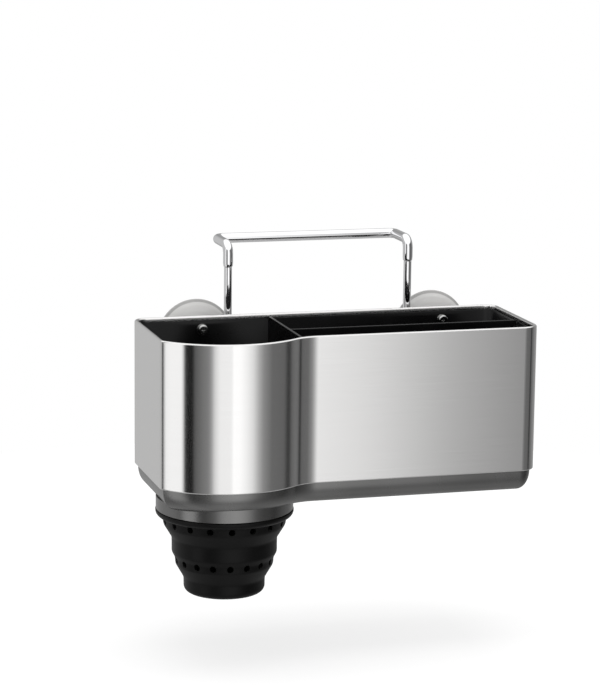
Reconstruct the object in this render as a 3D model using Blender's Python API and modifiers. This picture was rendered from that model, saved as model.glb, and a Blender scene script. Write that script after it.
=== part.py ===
"""Hanging sink caddy with a brush well, a sponge well, a folding cup and a sliding hook.

Blender 4.5, metres, +Z up. Run with: blender --background --python part.py

The pieces are laid out from the back left corner of the steel shell: X runs along the back
wall, Y is zero on the back face and negative towards the front, and Z is zero at the rim.
The hook stays on the sink's edge and the caddy slides up and down on its wire, so an empty
carries each, and the world origin is the middle of the hook bar's underside.
"""
import bmesh
import bpy
from math import atan2, cos, degrees, pi, radians, sin, sqrt
from mathutils import Matrix, Vector

MM = 0.001
CLEARANCE = 0.3 * MM            # between pieces that touch or slide

# Steel shell, seen from above
LENGTH = 240.0 * MM
DEPTH = 84.6 * MM               # back face to the flat front
BAND_HEIGHT = 91.2 * MM
SHEET = 0.8 * MM
BACK_CORNER = 9.0 * MM
FRONT_CORNER = 11.0 * MM
BRUSH_CORNER = 4.5 * MM         # where the side wall meets the bulge
BRUSH_X = 46.2 * MM             # middle of the brush well and of the cup
BULGE_RADIUS = 57.0 * MM
BULGE_REACH = 17.4 * MM         # how far the bulge stands in front of the flat front
BULGE_FILLET = 25.0 * MM
HEM_WIDTH = 2.4 * MM
HEM_HEIGHT = 2.5 * MM
FLANGE_WIDTH = 1.8 * MM         # sheet turned in under the band

# Liner
LINER_WALL = 1.8 * MM
LINER_CORNER = 2.0 * MM
WELL_SPLIT_X = 88.0 * MM        # middle of the wall between the wells
SPLIT_WALL = 1.6 * MM
SPLIT_TOP = -1.8 * MM           # the wall between the wells ends just under the rim
THROAT_RADIUS = 35.5 * MM       # round hole in the brush well's floor
SPOUT_DROP = 12.3 * MM
FLOOR_SLOT_LENGTH = 26.0 * MM
FLOOR_SLOT_WIDTH = 3.0 * MM
FLOOR_SLOT_MARGIN = 26.0 * MM    # from either end of the sponge well to the first slot
FLOOR_SLOT_COUNT = 6

# Sponge divider, a plate that drops between ribs of the liner
DIVIDER_Y = -48.2 * MM
DIVIDER_PLATE = 1.6 * MM
DIVIDER_TOP = -2.0 * MM
DIVIDER_NOTCH_HEIGHT = 7.0 * MM
DIVIDER_FOOT = 14.0 * MM
RIB_WIDTH = 1.5 * MM
RIB_DEPTH = 2.0 * MM
RIB_DROP = 3.0 * MM             # the ribs end below the divider's top

# Base
BASE_WALL = 1.8 * MM
BASE_DROP = 13.3 * MM           # below the steel
BASE_ROUND = 12.0 * MM          # height of the rounding under the outer wall
BASE_ROUND_REACH = 8.0 * MM     # how far it goes in to the flat bottom
BASE_RIM = 1.1 * MM             # thickness of the ledge that rests on the shell's flange
SKIRT_RADIUS = 42.3 * MM
SKIRT_WALL = 2.2 * MM
SKIRT_DROP = 5.7 * MM           # below the base
SKIRT_SETBACK = 5.2 * MM        # from the front of the bulge
SKIRT_CURB = 0.6 * MM           # round the hole, above the base's floor
BASE_BOSS = 5.2 * MM
LINER_BOSS = 3.6 * MM
BASE_SLOT_LENGTH = 22.0 * MM
BASE_SCREW_HEAD = 3.2 * MM
BASE_SCREW_HEAD_HEIGHT = 1.6 * MM
BASE_SCREW_SHANK = 1.3 * MM
BASE_SCREW_INSET = 13.0 * MM

# Ring that holds the cup
RING_WALL = 1.8 * MM
RING_TOP = 2.1 * MM             # above the curb
RING_FLANGE = 1.4 * MM
RING_FLANGE_HEIGHT = 1.0 * MM
RING_DROP = 2.35 * MM           # below the skirt
SNAP_REACH = 1.6 * MM
SNAP_ANGLE = 14.0
SNAP_COUNT = 4

# Folding cup, outer radii and heights of its bands from the skirt down
CUP_WALL = 1.4 * MM
FOLD_WALL = 1.0 * MM
CUP_SIDES = 36
CUP_TURN = -2.4                 # degrees, as the cup is snapped in
LIP_RADIUS = 42.6 * MM
LIP_HEIGHT = 0.8 * MM
LIP_ROUND = 3.4 * MM
BAND_1_RADIUS = 38.5 * MM
BAND_1_HEIGHT = 5.3 * MM
BAND_1_TAPER = 0.9 * MM
FOLD_1_HEIGHT = 8.2 * MM
BAND_2_RADIUS = 32.5 * MM
BAND_2_HEIGHT = 9.2 * MM
BAND_2_FLARE = 0.2 * MM
SHOULDER = 3.7 * MM
BAND_3_RADIUS = 30.6 * MM
BAND_3_HEIGHT = 4.1 * MM
BAND_3_TAPER = 0.4 * MM
FOLD_2_HEIGHT = 8.6 * MM
BAND_4_RADIUS = 25.0 * MM
BAND_4_HEIGHT = 9.3 * MM
BAND_4_FLARE = 0.2 * MM
CUP_BOTTOM_ROUND = 3.9 * MM
DRAIN_RADIUS = 1.9 * MM
UPPER_DRAIN_DROP = 2.4 * MM     # below the lip
LOWER_DRAIN_DROP = 1.2 * MM     # below the shoulder
DRAIN_COUNT = 18

# Hook tube and the wire that it sits on
HOOK_SHIFT = 3.9 * MM           # its middle is right of the shell's middle
HOOK_SPAN = 119.2 * MM
WIRE_STANDOFF = 10.0 * MM       # from the back face to the wire's axis
ARM_REACH = 29.5 * MM
HOOK_RISE = 42.4 * MM           # tube's axis above the rim
TUBE_RADIUS = 3.15 * MM
TUBE_LEG = 13.6 * MM
TUBE_TIP = 2.9 * MM             # the legs' ends are crimped a little
TUBE_TIP_LENGTH = 2.2 * MM
ELBOW_RADIUS = 6.0 * MM
BAR_BEND = 4.2 * MM
WIRE_RADIUS = 2.5 * MM
SPIGOT_RADIUS = 2.0 * MM
SPIGOT_LENGTH = 7.5 * MM
WIRE_DROP = 74.0 * MM           # foot of the wire below the rim
WIRE_BEND = 8.0 * MM

# Brackets, one for each leg of the wire
BRACKET_THICKNESS = 6.7 * MM
BRACKET_TOP = -4.0 * MM
BRACKET_HEIGHT = 27.0 * MM
BRACKET_REACH = 31.0 * MM       # from the wire outwards
BRACKET_INNER = 4.4 * MM        # from the wire inwards
BRACKET_CORNER = 3.0 * MM
BUSH_WALL = 1.2 * MM
BUSH_FLANGE = 1.2 * MM
BUSH_FLANGE_HEIGHT = 1.0 * MM
BUSH_LENGTH = 20.0 * MM
BOSS_WALL = 1.5 * MM

# Suction cups
SUCTION_OFFSET = 18.8 * MM      # from the wire outwards
SUCTION_Z = -17.4 * MM
SUCTION_RADIUS = 24.5 * MM
SUCTION_PLANE = 20.0 * MM       # sealing face behind the back face
SUCTION_EDGE = 1.2 * MM
SUCTION_LAND = 2.2 * MM         # width of the flat sealing ring
SUCTION_HOLLOW = 3.6 * MM
SUCTION_SWELL = 1.6             # power of the curve from the hub to the edge
SUCTION_HUB = 7.0 * MM
SUCTION_HUB_HEIGHT = 5.0 * MM
SUCTION_LIP = 2.5 * MM          # bracket wall that the button holds
SUCTION_NECK = 2.5 * MM
SUCTION_HEAD = 4.1 * MM
SUCTION_HEAD_HEIGHT = 2.2 * MM

# Screws that clamp liner, shell and bracket together
SCREW_SPACING = 18.0 * MM
SCREW_SHIFT = 0.9 * MM          # from the suction cup's middle outwards
SCREW_SHANK = 1.7 * MM
SCREW_HEAD = 3.35 * MM
SCREW_HEAD_HEIGHT = 2.3 * MM
SCREW_REACH = 5.6 * MM          # behind the back face
WASHER_RADIUS = 3.9 * MM
WASHER_HEIGHT = 0.8 * MM
PAN_RIM = 0.4                   # share of a pan head's height that is upright

# Levels that follow from the sizes above
LINER_TOP = -(HEM_HEIGHT + CLEARANCE)
FLANGE_TOP = -(BAND_HEIGHT - SHEET)
BASE_RIM_LOW = FLANGE_TOP + CLEARANCE
BASE_RIM_TOP = BASE_RIM_LOW + BASE_RIM
LINER_BOTTOM = BASE_RIM_TOP + CLEARANCE
LINER_FLOOR = LINER_BOTTOM + LINER_WALL
BASE_BOTTOM = -(BAND_HEIGHT + BASE_DROP)
BASE_FLOOR = BASE_BOTTOM + BASE_WALL
SKIRT_BOTTOM = BASE_BOTTOM - SKIRT_DROP
LINER_INSET = SHEET + CLEARANCE
WELL_INSET = LINER_INSET + LINER_WALL
BASE_INSET = FLANGE_WIDTH + CLEARANCE
BULGE_FRONT = -(DEPTH + BULGE_REACH)
BULGE_Y = BULGE_FRONT + BULGE_RADIUS
CUP_Y = BULGE_FRONT + SKIRT_SETBACK + SKIRT_RADIUS
HOOK_X = LENGTH / 2 + HOOK_SHIFT
TUBE_SIDES = 12
SMALLEST_CORNER = 0.4 * MM
HALF_FACET = pi / TUBE_SIDES
BAR_UNDERSIDE = HOOK_RISE - TUBE_RADIUS * cos(HALF_FACET)


def start_scene():
    """Empty the scene and make one collection for the caddy and one for its cutters."""
    for old in list(bpy.data.objects):
        bpy.data.objects.remove(old, do_unlink=True)
    made = []
    for name in ("sink_caddy", "cutters"):
        collection = bpy.data.collections.new(name)
        bpy.context.scene.collection.children.link(collection)
        made.append(collection)
    return made


PARTS, CUTTERS = start_scene()


def carrier(name, parent, location, turn=0.0):
    """An empty that carries a group of pieces, on the line along which the group slides."""
    empty = bpy.data.objects.new(name, None)
    empty.parent = parent
    empty.location = location
    empty.rotation_euler = (0.0, 0.0, radians(turn))
    PARTS.objects.link(empty)
    return empty


HOOK = carrier("hook_on_sink", None, (0.0, -ARM_REACH, -BAR_UNDERSIDE))
CADDY = carrier("caddy_slide", HOOK, (-HOOK_X, -WIRE_STANDOFF, 0.0))
CUP_SEAT = carrier("cup_seat", CADDY, (BRUSH_X, CUP_Y, 0.0), CUP_TURN)
CUP_STAGE_1 = carrier("cup_stage_1", CUP_SEAT, (0.0, 0.0, 0.0))
CUP_STAGE_2 = carrier("cup_stage_2", CUP_STAGE_1, (0.0, 0.0, 0.0))


def material(name, colour, roughness, metallic=0.0, alpha=1.0):
    """A Principled material in the piece's own colour."""
    made = bpy.data.materials.new(name)
    made.use_nodes = True
    shader = made.node_tree.nodes["Principled BSDF"]
    shader.inputs["Base Color"].default_value = (*colour, 1.0)
    shader.inputs["Roughness"].default_value = roughness
    shader.inputs["Metallic"].default_value = metallic
    shader.inputs["Alpha"].default_value = alpha
    return made


STEEL = material("brushed_steel", (0.62, 0.61, 0.60), 0.3, 1.0)
CHROME = material("chrome", (0.78, 0.78, 0.78), 0.06, 1.0)
BLACK = material("black_plastic", (0.012, 0.012, 0.013), 0.3)
GREY = material("dark_grey_plastic", (0.10, 0.10, 0.10), 0.4)
SILICONE = material("black_silicone", (0.010, 0.010, 0.010), 0.5)
CLEAR = material("milky_vinyl", (0.62, 0.62, 0.60), 0.25, 0.0, 0.8)
ZINC = material("plated_screw", (0.70, 0.70, 0.70), 0.25, 1.0)


def new_object(name, mesh, collection, parent):
    """Put a mesh in the scene under the empty that carries it."""
    thing = bpy.data.objects.new(name, mesh)
    collection.objects.link(thing)
    thing.parent = parent
    return thing


def finish(thing, surface, sharp=35.0):
    """Give a piece its material and smooth shading with sharp edges kept."""
    thing.data.materials.clear()
    thing.data.materials.append(surface)
    thing.data.shade_smooth()
    thing.data.set_sharp_from_angle(angle=radians(sharp))
    return thing


def mesh_from(name, bm):
    """Turn a bmesh with its faces pointing out into a mesh."""
    bmesh.ops.recalc_face_normals(bm, faces=bm.faces)
    mesh = bpy.data.meshes.new(name)
    bm.to_mesh(mesh)
    bm.free()
    return mesh


def arc(centre, radius, start, end, steps):
    """Points along an arc, angles in degrees."""
    angles = [radians(start + (end - start) * i / steps) for i in range(steps + 1)]
    return [(centre[0] + radius * cos(a), centre[1] + radius * sin(a)) for a in angles]


def corner_radius(radius, inset):
    """A corner that gets tighter as the outline moves in, but never comes to a point."""
    return max(radius - inset, SMALLEST_CORNER)


def fillet_middle():
    """X and Y of the middle of the hollow curve where the bulge meets the flat front."""
    y = -DEPTH - BULGE_FILLET
    return BRUSH_X + sqrt((BULGE_RADIUS + BULGE_FILLET) ** 2 - (BULGE_Y - y) ** 2), y


def outline(inset):
    """The shell's plan moved inwards, anticlockwise from the back right corner."""
    back = corner_radius(BACK_CORNER, inset)
    front = corner_radius(FRONT_CORNER, inset)
    side = corner_radius(BRUSH_CORNER, inset)
    bulge = BULGE_RADIUS - inset
    side_x = inset + side
    side_y = BULGE_Y - sqrt((bulge - side) ** 2 - (BRUSH_X - side_x) ** 2)
    fillet_x, fillet_y = fillet_middle()
    bulge_start = 360.0 + degrees(atan2(side_y - BULGE_Y, side_x - BRUSH_X))
    bulge_end = 360.0 + degrees(atan2(fillet_y - BULGE_Y, fillet_x - BRUSH_X))
    points = arc((LENGTH - inset - back, -inset - back), back, 0.0, 90.0, 5)
    points += arc((inset + back, -inset - back), back, 90.0, 180.0, 5)
    points += arc((side_x, side_y), side, 180.0, bulge_start, 3)
    points += arc((BRUSH_X, BULGE_Y), bulge, bulge_start, bulge_end, 13)[1:]
    points += arc((fillet_x, fillet_y), BULGE_FILLET + inset, bulge_end - 180.0, 90.0, 4)[1:]
    points += arc((LENGTH - inset - front, -DEPTH + inset + front), front, -90.0, 0.0, 5)
    return points


def wall_y(x, inset):
    """Y of the front wall at a place on the hollow curve or right of it."""
    fillet_x, fillet_y = fillet_middle()
    if x >= fillet_x:
        return -DEPTH + inset
    return fillet_y + sqrt((BULGE_FILLET + inset) ** 2 - (fillet_x - x) ** 2)


def loft(name, profile, closed):
    """Carry a profile of (inset, height) round the plan. An open profile is capped."""
    bm = bmesh.new()
    rings = [[bm.verts.new((x, y, height)) for x, y in outline(inset)] for inset, height in profile]
    pairs = list(zip(rings, rings[1:]))
    if closed:
        pairs.append((rings[-1], rings[0]))
    else:
        bm.faces.new(rings[0])
        bm.faces.new(rings[-1])
    for near, far in pairs:
        for i in range(len(near)):
            bm.faces.new((near[i - 1], near[i], far[i], far[i - 1]))
    return mesh_from(name, bm)


def turned(name, profile, collection, parent, location, sides=48, axis="Z"):
    """A closed profile of (radius, height) turned about an upright axis, or about Y."""
    mesh = bpy.data.meshes.new(name)
    count = len(profile)
    on_axis = profile[0][0] == 0.0 and profile[-1][0] == 0.0
    edges = [(i, (i + 1) % count) for i in range(count - 1 if on_axis else count)]
    mesh.from_pydata([(radius, 0.0, height) for radius, height in profile], edges, [])
    thing = new_object(name, mesh, collection, parent)
    thing.location = location
    if axis == "Y":
        thing.rotation_euler = (radians(-90.0), 0.0, 0.0)
    turn = thing.modifiers.new("turn", "SCREW")
    turn.steps = sides
    turn.render_steps = sides
    turn.use_merge_vertices = True
    turn.merge_threshold = 0.00001
    return thing


def cutter(thing):
    """Show a tool body as wire and keep it out of the model."""
    thing.hide_render = True
    thing.display_type = "WIRE"
    return thing


def tool_mesh(name, shapes, parent):
    """One tool object from shapes that are each a function of a bmesh."""
    bm = bmesh.new()
    for shape in shapes:
        shape(bm)
    return cutter(new_object(name, mesh_from(name, bm), CUTTERS, parent))


def rod(radius, centre, length, axis="Z", sides=16):
    """A cylinder for a tool mesh, centred on a point."""
    turn = {"Z": Matrix.Identity(4), "Y": Matrix.Rotation(pi / 2, 4, "X"),
            "X": Matrix.Rotation(pi / 2, 4, "Y")}[axis]

    def build(bm):
        bmesh.ops.create_cone(bm, cap_ends=True, segments=sides, radius1=radius, radius2=radius,
                              depth=length, matrix=Matrix.Translation(centre) @ turn)
    return build


def block(low, high):
    """A box for a tool mesh, between two corners."""
    low, high = Vector(low), Vector(high)

    def build(bm):
        size = high - low
        place = Matrix.Translation((low + high) / 2) @ Matrix.Diagonal((*size, 1.0))
        bmesh.ops.create_cube(bm, size=1.0, matrix=place)
    return build


def combine(thing, tool, operation):
    """Cut a piece with a tool, or join the tool to it."""
    step = thing.modifiers.new(tool.name, "BOOLEAN")
    step.operation = operation
    step.object = tool
    step.solver = "EXACT"


def sides_of_hook():
    """The two legs: name, X of the wire, and the direction that points outwards."""
    return [("left", HOOK_X - HOOK_SPAN / 2, -1.0), ("right", HOOK_X + HOOK_SPAN / 2, 1.0)]


def bracket_screw_places():
    """X and Z of the four screws that go through the back walls."""
    return [(x + out * (SUCTION_OFFSET + SCREW_SHIFT), SUCTION_Z + up * SCREW_SPACING / 2)
            for _, x, out in sides_of_hook() for up in (1.0, -1.0)]


def base_screw_places():
    """X and Y of the five screws that hold the base to the liner."""
    back = -BASE_SCREW_INSET
    front = -DEPTH + BASE_SCREW_INSET
    near_split = WELL_SPLIT_X + BASE_SCREW_INSET
    far = LENGTH - BASE_SCREW_INSET
    return [(BASE_SCREW_INSET, back), (near_split, back), (near_split, front), (far, back), (far, front)]


def drain_slots(length, low, high):
    """Boxes for two rows of slots under the sponge well, before and behind the divider."""
    first = WELL_SPLIT_X + FLOOR_SLOT_MARGIN
    pitch = (LENGTH - FLOOR_SLOT_MARGIN - first) / (FLOOR_SLOT_COUNT - 1)
    rows = ((-DEPTH + WELL_INSET + DIVIDER_Y) / 2, (DIVIDER_Y - WELL_INSET) / 2)
    slots = []
    for i in range(FLOOR_SLOT_COUNT):
        x = first + i * pitch
        for y in rows:
            slots.append(block((x - FLOOR_SLOT_WIDTH / 2, y - length / 2, low),
                               (x + FLOOR_SLOT_WIDTH / 2, y + length / 2, high)))
    return slots


def curve_to_mesh(name, curve, collection, parent):
    """Make a curve a mesh with its caps welded."""
    guide = bpy.data.objects.new(name + "_curve", curve)
    CUTTERS.objects.link(guide)
    bpy.context.view_layer.update()
    graph = bpy.context.evaluated_depsgraph_get()
    mesh = bpy.data.meshes.new_from_object(guide.evaluated_get(graph))
    bpy.data.objects.remove(guide, do_unlink=True)
    mesh.name = name
    bm = bmesh.new()
    bm.from_mesh(mesh)
    bmesh.ops.remove_doubles(bm, verts=bm.verts, dist=0.00001)
    bmesh.ops.recalc_face_normals(bm, faces=bm.faces)
    bm.to_mesh(mesh)
    bm.free()
    return new_object(name, mesh, collection, parent)


def plate(name, points, low, high, axis, collection=PARTS):
    """A flat outline carried along an axis: (x, z) points along Y, or (y, z) points along X."""
    curve = bpy.data.curves.new(name, "CURVE")
    curve.dimensions = "2D"
    curve.fill_mode = "BOTH"
    curve.extrude = (high - low) / 2
    line = curve.splines.new("POLY")
    line.points.add(len(points) - 1)
    for point, (u, v) in zip(line.points, points):
        point.co = (u, v, 0.0, 1.0)
    line.use_cyclic_u = True
    made = curve_to_mesh(name, curve, collection, CADDY)
    middle = (low + high) / 2
    if axis == "X":
        made.rotation_euler = (radians(90.0), 0.0, radians(90.0))
        made.location = (middle, 0.0, 0.0)
    else:
        made.rotation_euler = (radians(90.0), 0.0, 0.0)
        made.location = (0.0, middle, 0.0)
    return made


def build_shell():
    """Steel band with a rolled hem at the rim and a narrow flange under it."""
    roll = HEM_WIDTH / 2
    bend = 1.0 * MM
    profile = [(0.0, -BAND_HEIGHT + bend), (0.0, -roll)]
    profile += [(roll - roll * cos(radians(a)), -roll + roll * sin(radians(a))) for a in (45.0, 90.0, 135.0)]
    profile += [(HEM_WIDTH, -roll), (HEM_WIDTH, -HEM_HEIGHT), (SHEET, -HEM_HEIGHT), (SHEET, FLANGE_TOP)]
    profile += [(FLANGE_WIDTH, FLANGE_TOP), (FLANGE_WIDTH, -BAND_HEIGHT)]
    profile += [(bend - bend * sin(radians(a)), -BAND_HEIGHT + bend - bend * cos(radians(a)))
                for a in (0.0, 45.0)]
    shell = new_object("steel_shell", loft("steel_shell", profile, True), PARTS, CADDY)
    holes = [rod(SCREW_SHANK + 2 * CLEARANCE, (x, -SHEET / 2, z), 4 * SHEET, "Y", 10)
             for x, z in bracket_screw_places()]
    combine(shell, tool_mesh("shell_holes", holes, CADDY), "DIFFERENCE")
    finish(shell, STEEL)


def build_liner():
    """Moulded tub with a brush well that opens into the cup and a slotted sponge well."""
    lead = 0.3 * MM
    heel = 1.2 * MM
    bite = LINER_WALL / 2
    profile = [(WELL_INSET + LINER_CORNER * (1.0 - cos(radians(a))),
                LINER_FLOOR + LINER_CORNER * (1.0 - sin(radians(a)))) for a in (90.0, 45.0, 0.0)]
    profile += [(WELL_INSET, LINER_TOP - lead), (WELL_INSET - lead, LINER_TOP)]
    profile += [(LINER_INSET, LINER_TOP), (LINER_INSET, LINER_BOTTOM + heel)]
    profile += [(LINER_INSET + heel, LINER_BOTTOM)]
    liner = new_object("liner", loft("liner", profile, False), PARTS, CADDY)

    back = -LINER_INSET - bite
    front = wall_y(WELL_SPLIT_X, LINER_INSET + bite)
    back_top = -WELL_INSET - CLEARANCE
    front_top = wall_y(WELL_SPLIT_X, WELL_INSET + 2 * CLEARANCE)
    low = LINER_FLOOR - bite
    step = LINER_TOP - 2 * lead
    points = [(front, low), (back, low), (back, step), (back_top, step), (back_top, SPLIT_TOP),
              (front_top, SPLIT_TOP), (front_top, step), (front, step)]
    split_left = WELL_SPLIT_X - SPLIT_WALL / 2
    split_right = WELL_SPLIT_X + SPLIT_WALL / 2
    combine(liner, cutter(plate("well_split", points, split_left, split_right, "X", CUTTERS)), "UNION")

    well_right = LENGTH - WELL_INSET
    groove = DIVIDER_PLATE / 2 + CLEARANCE
    rib_top = DIVIDER_TOP - RIB_DROP
    ribs = []
    for y in (DIVIDER_Y - groove - RIB_WIDTH, DIVIDER_Y + groove):
        ribs.append(block((WELL_SPLIT_X, y, low), (split_right + RIB_DEPTH, y + RIB_WIDTH, rib_top)))
        ribs.append(block((well_right - RIB_DEPTH, y, low), (well_right + bite, y + RIB_WIDTH, rib_top)))
    combine(liner, tool_mesh("divider_ribs", ribs, CADDY), "UNION")

    spout_bottom = LINER_BOTTOM - SPOUT_DROP
    spout = rod(THROAT_RADIUS + LINER_WALL, (BRUSH_X, CUP_Y, (low + spout_bottom) / 2), low - spout_bottom,
                sides=CUP_SIDES)
    combine(liner, tool_mesh("spout", [spout], CADDY), "UNION")
    boss_low = BASE_RIM_LOW - BASE_RIM
    bosses = [rod(LINER_BOSS, (x, y, (low + boss_low) / 2), low - boss_low, sides=12)
              for x, y in base_screw_places()]
    combine(liner, tool_mesh("liner_bosses", bosses, CADDY), "UNION")

    holes = [rod(THROAT_RADIUS, (BRUSH_X, CUP_Y, low), 4 * SPOUT_DROP, sides=CUP_SIDES)]
    holes += [rod(SCREW_SHANK + 2 * CLEARANCE, (x, back, z), 4 * LINER_WALL, "Y", 10)
              for x, z in bracket_screw_places()]
    holes += [rod(BASE_SCREW_SHANK + CLEARANCE, (x, y, boss_low), 2 * (low - boss_low), sides=8)
              for x, y in base_screw_places()]
    holes += drain_slots(FLOOR_SLOT_LENGTH, LINER_BOTTOM - LINER_WALL, LINER_FLOOR + LINER_WALL)
    combine(liner, tool_mesh("liner_holes", holes, CADDY), "DIFFERENCE")
    finish(liner, BLACK)


def build_sponge_divider():
    """Loose plate between the liner's ribs, notched along its foot so that water runs off."""
    left = WELL_SPLIT_X + SPLIT_WALL / 2 + CLEARANCE
    right = LENGTH - WELL_INSET - CLEARANCE
    middle = (left + right) / 2
    low = LINER_FLOOR + CLEARANCE
    rise = DIVIDER_NOTCH_HEIGHT
    end_foot = RIB_DEPTH + DIVIDER_FOOT
    half_foot = DIVIDER_FOOT / 2
    points = [(left, low + LINER_CORNER), (left + LINER_CORNER, low), (left + end_foot, low),
              (left + end_foot + rise, low + rise),
              (middle - half_foot - rise, low + rise), (middle - half_foot, low),
              (middle + half_foot, low), (middle + half_foot + rise, low + rise),
              (right - end_foot - rise, low + rise), (right - end_foot, low),
              (right - LINER_CORNER, low), (right, low + LINER_CORNER), (right, DIVIDER_TOP),
              (left, DIVIDER_TOP)]
    divider = plate("sponge_divider", points, DIVIDER_Y - DIVIDER_PLATE / 2, DIVIDER_Y + DIVIDER_PLATE / 2,
                    "Y")
    soften = divider.modifiers.new("soften", "BEVEL")
    soften.width = 0.3 * MM
    soften.segments = 1
    soften.limit_method = "ANGLE"
    soften.angle_limit = radians(50.0)
    finish(divider, BLACK)


def build_base():
    """Moulded tray under the shell, rounded below, with a skirt round the cup's hole."""
    middle_inset = BASE_INSET + BASE_ROUND_REACH
    middle_z = BASE_BOTTOM + BASE_ROUND
    turn = [radians(a) for a in (90.0, 67.5, 45.0, 22.5, 0.0)]
    profile = [(middle_inset - (BASE_ROUND_REACH - BASE_WALL) * cos(a),
                middle_z - (BASE_ROUND - BASE_WALL) * sin(a)) for a in turn]
    profile += [(BASE_INSET + BASE_WALL, BASE_RIM_TOP), (LINER_INSET, BASE_RIM_TOP)]
    profile += [(LINER_INSET, BASE_RIM_LOW), (BASE_INSET, BASE_RIM_LOW)]
    profile += [(middle_inset - BASE_ROUND_REACH * cos(a), middle_z - BASE_ROUND * sin(a))
                for a in reversed(turn)]
    base = new_object("base", loft("base", profile, False), PARTS, CADDY)

    lead = 0.4 * MM
    curb = BASE_FLOOR + SKIRT_CURB
    skirt = turned("skirt", [(0.0, curb), (SKIRT_RADIUS, curb), (SKIRT_RADIUS, SKIRT_BOTTOM + lead),
                             (SKIRT_RADIUS - lead, SKIRT_BOTTOM), (0.0, SKIRT_BOTTOM)],
                   CUTTERS, CADDY, (BRUSH_X, CUP_Y, 0.0), CUP_SIDES)
    combine(base, cutter(skirt), "UNION")
    boss_top = BASE_RIM_LOW - BASE_RIM - CLEARANCE
    boss_low = BASE_FLOOR - BASE_WALL / 2
    bosses = [rod(BASE_BOSS, (x, y, (boss_top + boss_low) / 2), boss_top - boss_low, sides=12)
              for x, y in base_screw_places()]
    combine(base, tool_mesh("base_bosses", bosses, CADDY), "UNION")

    holes = [stepped_drill((x, y)) for x, y in base_screw_places()]
    holes += drain_slots(BASE_SLOT_LENGTH, BASE_BOTTOM - BASE_WALL, BASE_FLOOR + BASE_WALL)
    combine(base, tool_mesh("base_holes", holes, CADDY), "DIFFERENCE")
    opening = rod(SKIRT_RADIUS - SKIRT_WALL, (BRUSH_X, CUP_Y, SKIRT_BOTTOM), 2 * BASE_DROP, sides=CUP_SIDES)
    combine(base, tool_mesh("cup_opening", [opening], CADDY), "DIFFERENCE")
    finish(base, GREY)


def stepped_drill(place):
    """A tool for one base screw: the shank's hole with the head's recess below it."""
    shank = BASE_SCREW_SHANK + 2 * CLEARANCE
    head = BASE_SCREW_HEAD + 2 * CLEARANCE
    seat = BASE_BOTTOM + screw_recess()
    profile = [(shank, LINER_FLOOR), (shank, seat), (head, seat), (head, SKIRT_BOTTOM)]

    def build(bm):
        rings = []
        for radius, height in profile:
            turn = Matrix.Translation((*place, height))
            made = bmesh.ops.create_circle(bm, segments=10, radius=radius, matrix=turn)
            rings.append(made["verts"])
        for near, far in zip(rings, rings[1:]):
            for i in range(len(near)):
                bm.faces.new((near[i - 1], near[i], far[i], far[i - 1]))
        bm.faces.new(rings[0])
        bm.faces.new(rings[-1])
    return build


def screw_recess():
    """Depth of the recess that hides a base screw's head."""
    return BASE_SCREW_HEAD_HEIGHT + 2 * CLEARANCE


def pan_screw(name, head, height, shank, length, sides):
    """Mesh of a pan head screw: its head rises from zero and its shank goes down."""
    rim = PAN_RIM * height
    point = shank / 2
    profile = [(head * sin(radians(a)), rim + (height - rim) * cos(radians(a)))
               for a in (0.0, 35.0, 65.0, 90.0)]
    profile += [(head, 0.0), (shank, 0.0), (shank, point - length), (point, -length), (0.0, -length)]
    return turned_mesh(name, profile, sides)


def turned_mesh(name, profile, sides):
    """The mesh of a turned piece that will be copied."""
    thing = turned(name, profile, CUTTERS, None, (0.0, 0.0, 0.0), sides)
    bpy.context.view_layer.update()
    graph = bpy.context.evaluated_depsgraph_get()
    mesh = bpy.data.meshes.new_from_object(thing.evaluated_get(graph))
    bpy.data.objects.remove(thing, do_unlink=True)
    return mesh


def copies_at(name, mesh, places, turn, surface):
    """The same turned piece at several places, each an object that shares the mesh."""
    for number, place in enumerate(places, 1):
        copy = new_object(f"{name}_{number}", mesh, PARTS, CADDY)
        copy.location = place
        copy.rotation_euler = (turn, 0.0, 0.0)
        finish(copy, surface)


def build_base_screws():
    """Five screws driven up through the base into the liner's bosses."""
    seat = BASE_BOTTOM + screw_recess() - CLEARANCE
    reach = LINER_FLOOR - LINER_WALL / 2 - CLEARANCE - seat
    mesh = pan_screw("base_screw", BASE_SCREW_HEAD, BASE_SCREW_HEAD_HEIGHT, BASE_SCREW_SHANK, reach, 8)
    places = [(x, y, seat) for x, y in base_screw_places()]
    copies_at("base_screw", mesh, places, pi, ZINC)


def ring_outer():
    """Outer radius of the ring that snaps through the skirt."""
    return SKIRT_RADIUS - SKIRT_WALL - CLEARANCE


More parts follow.
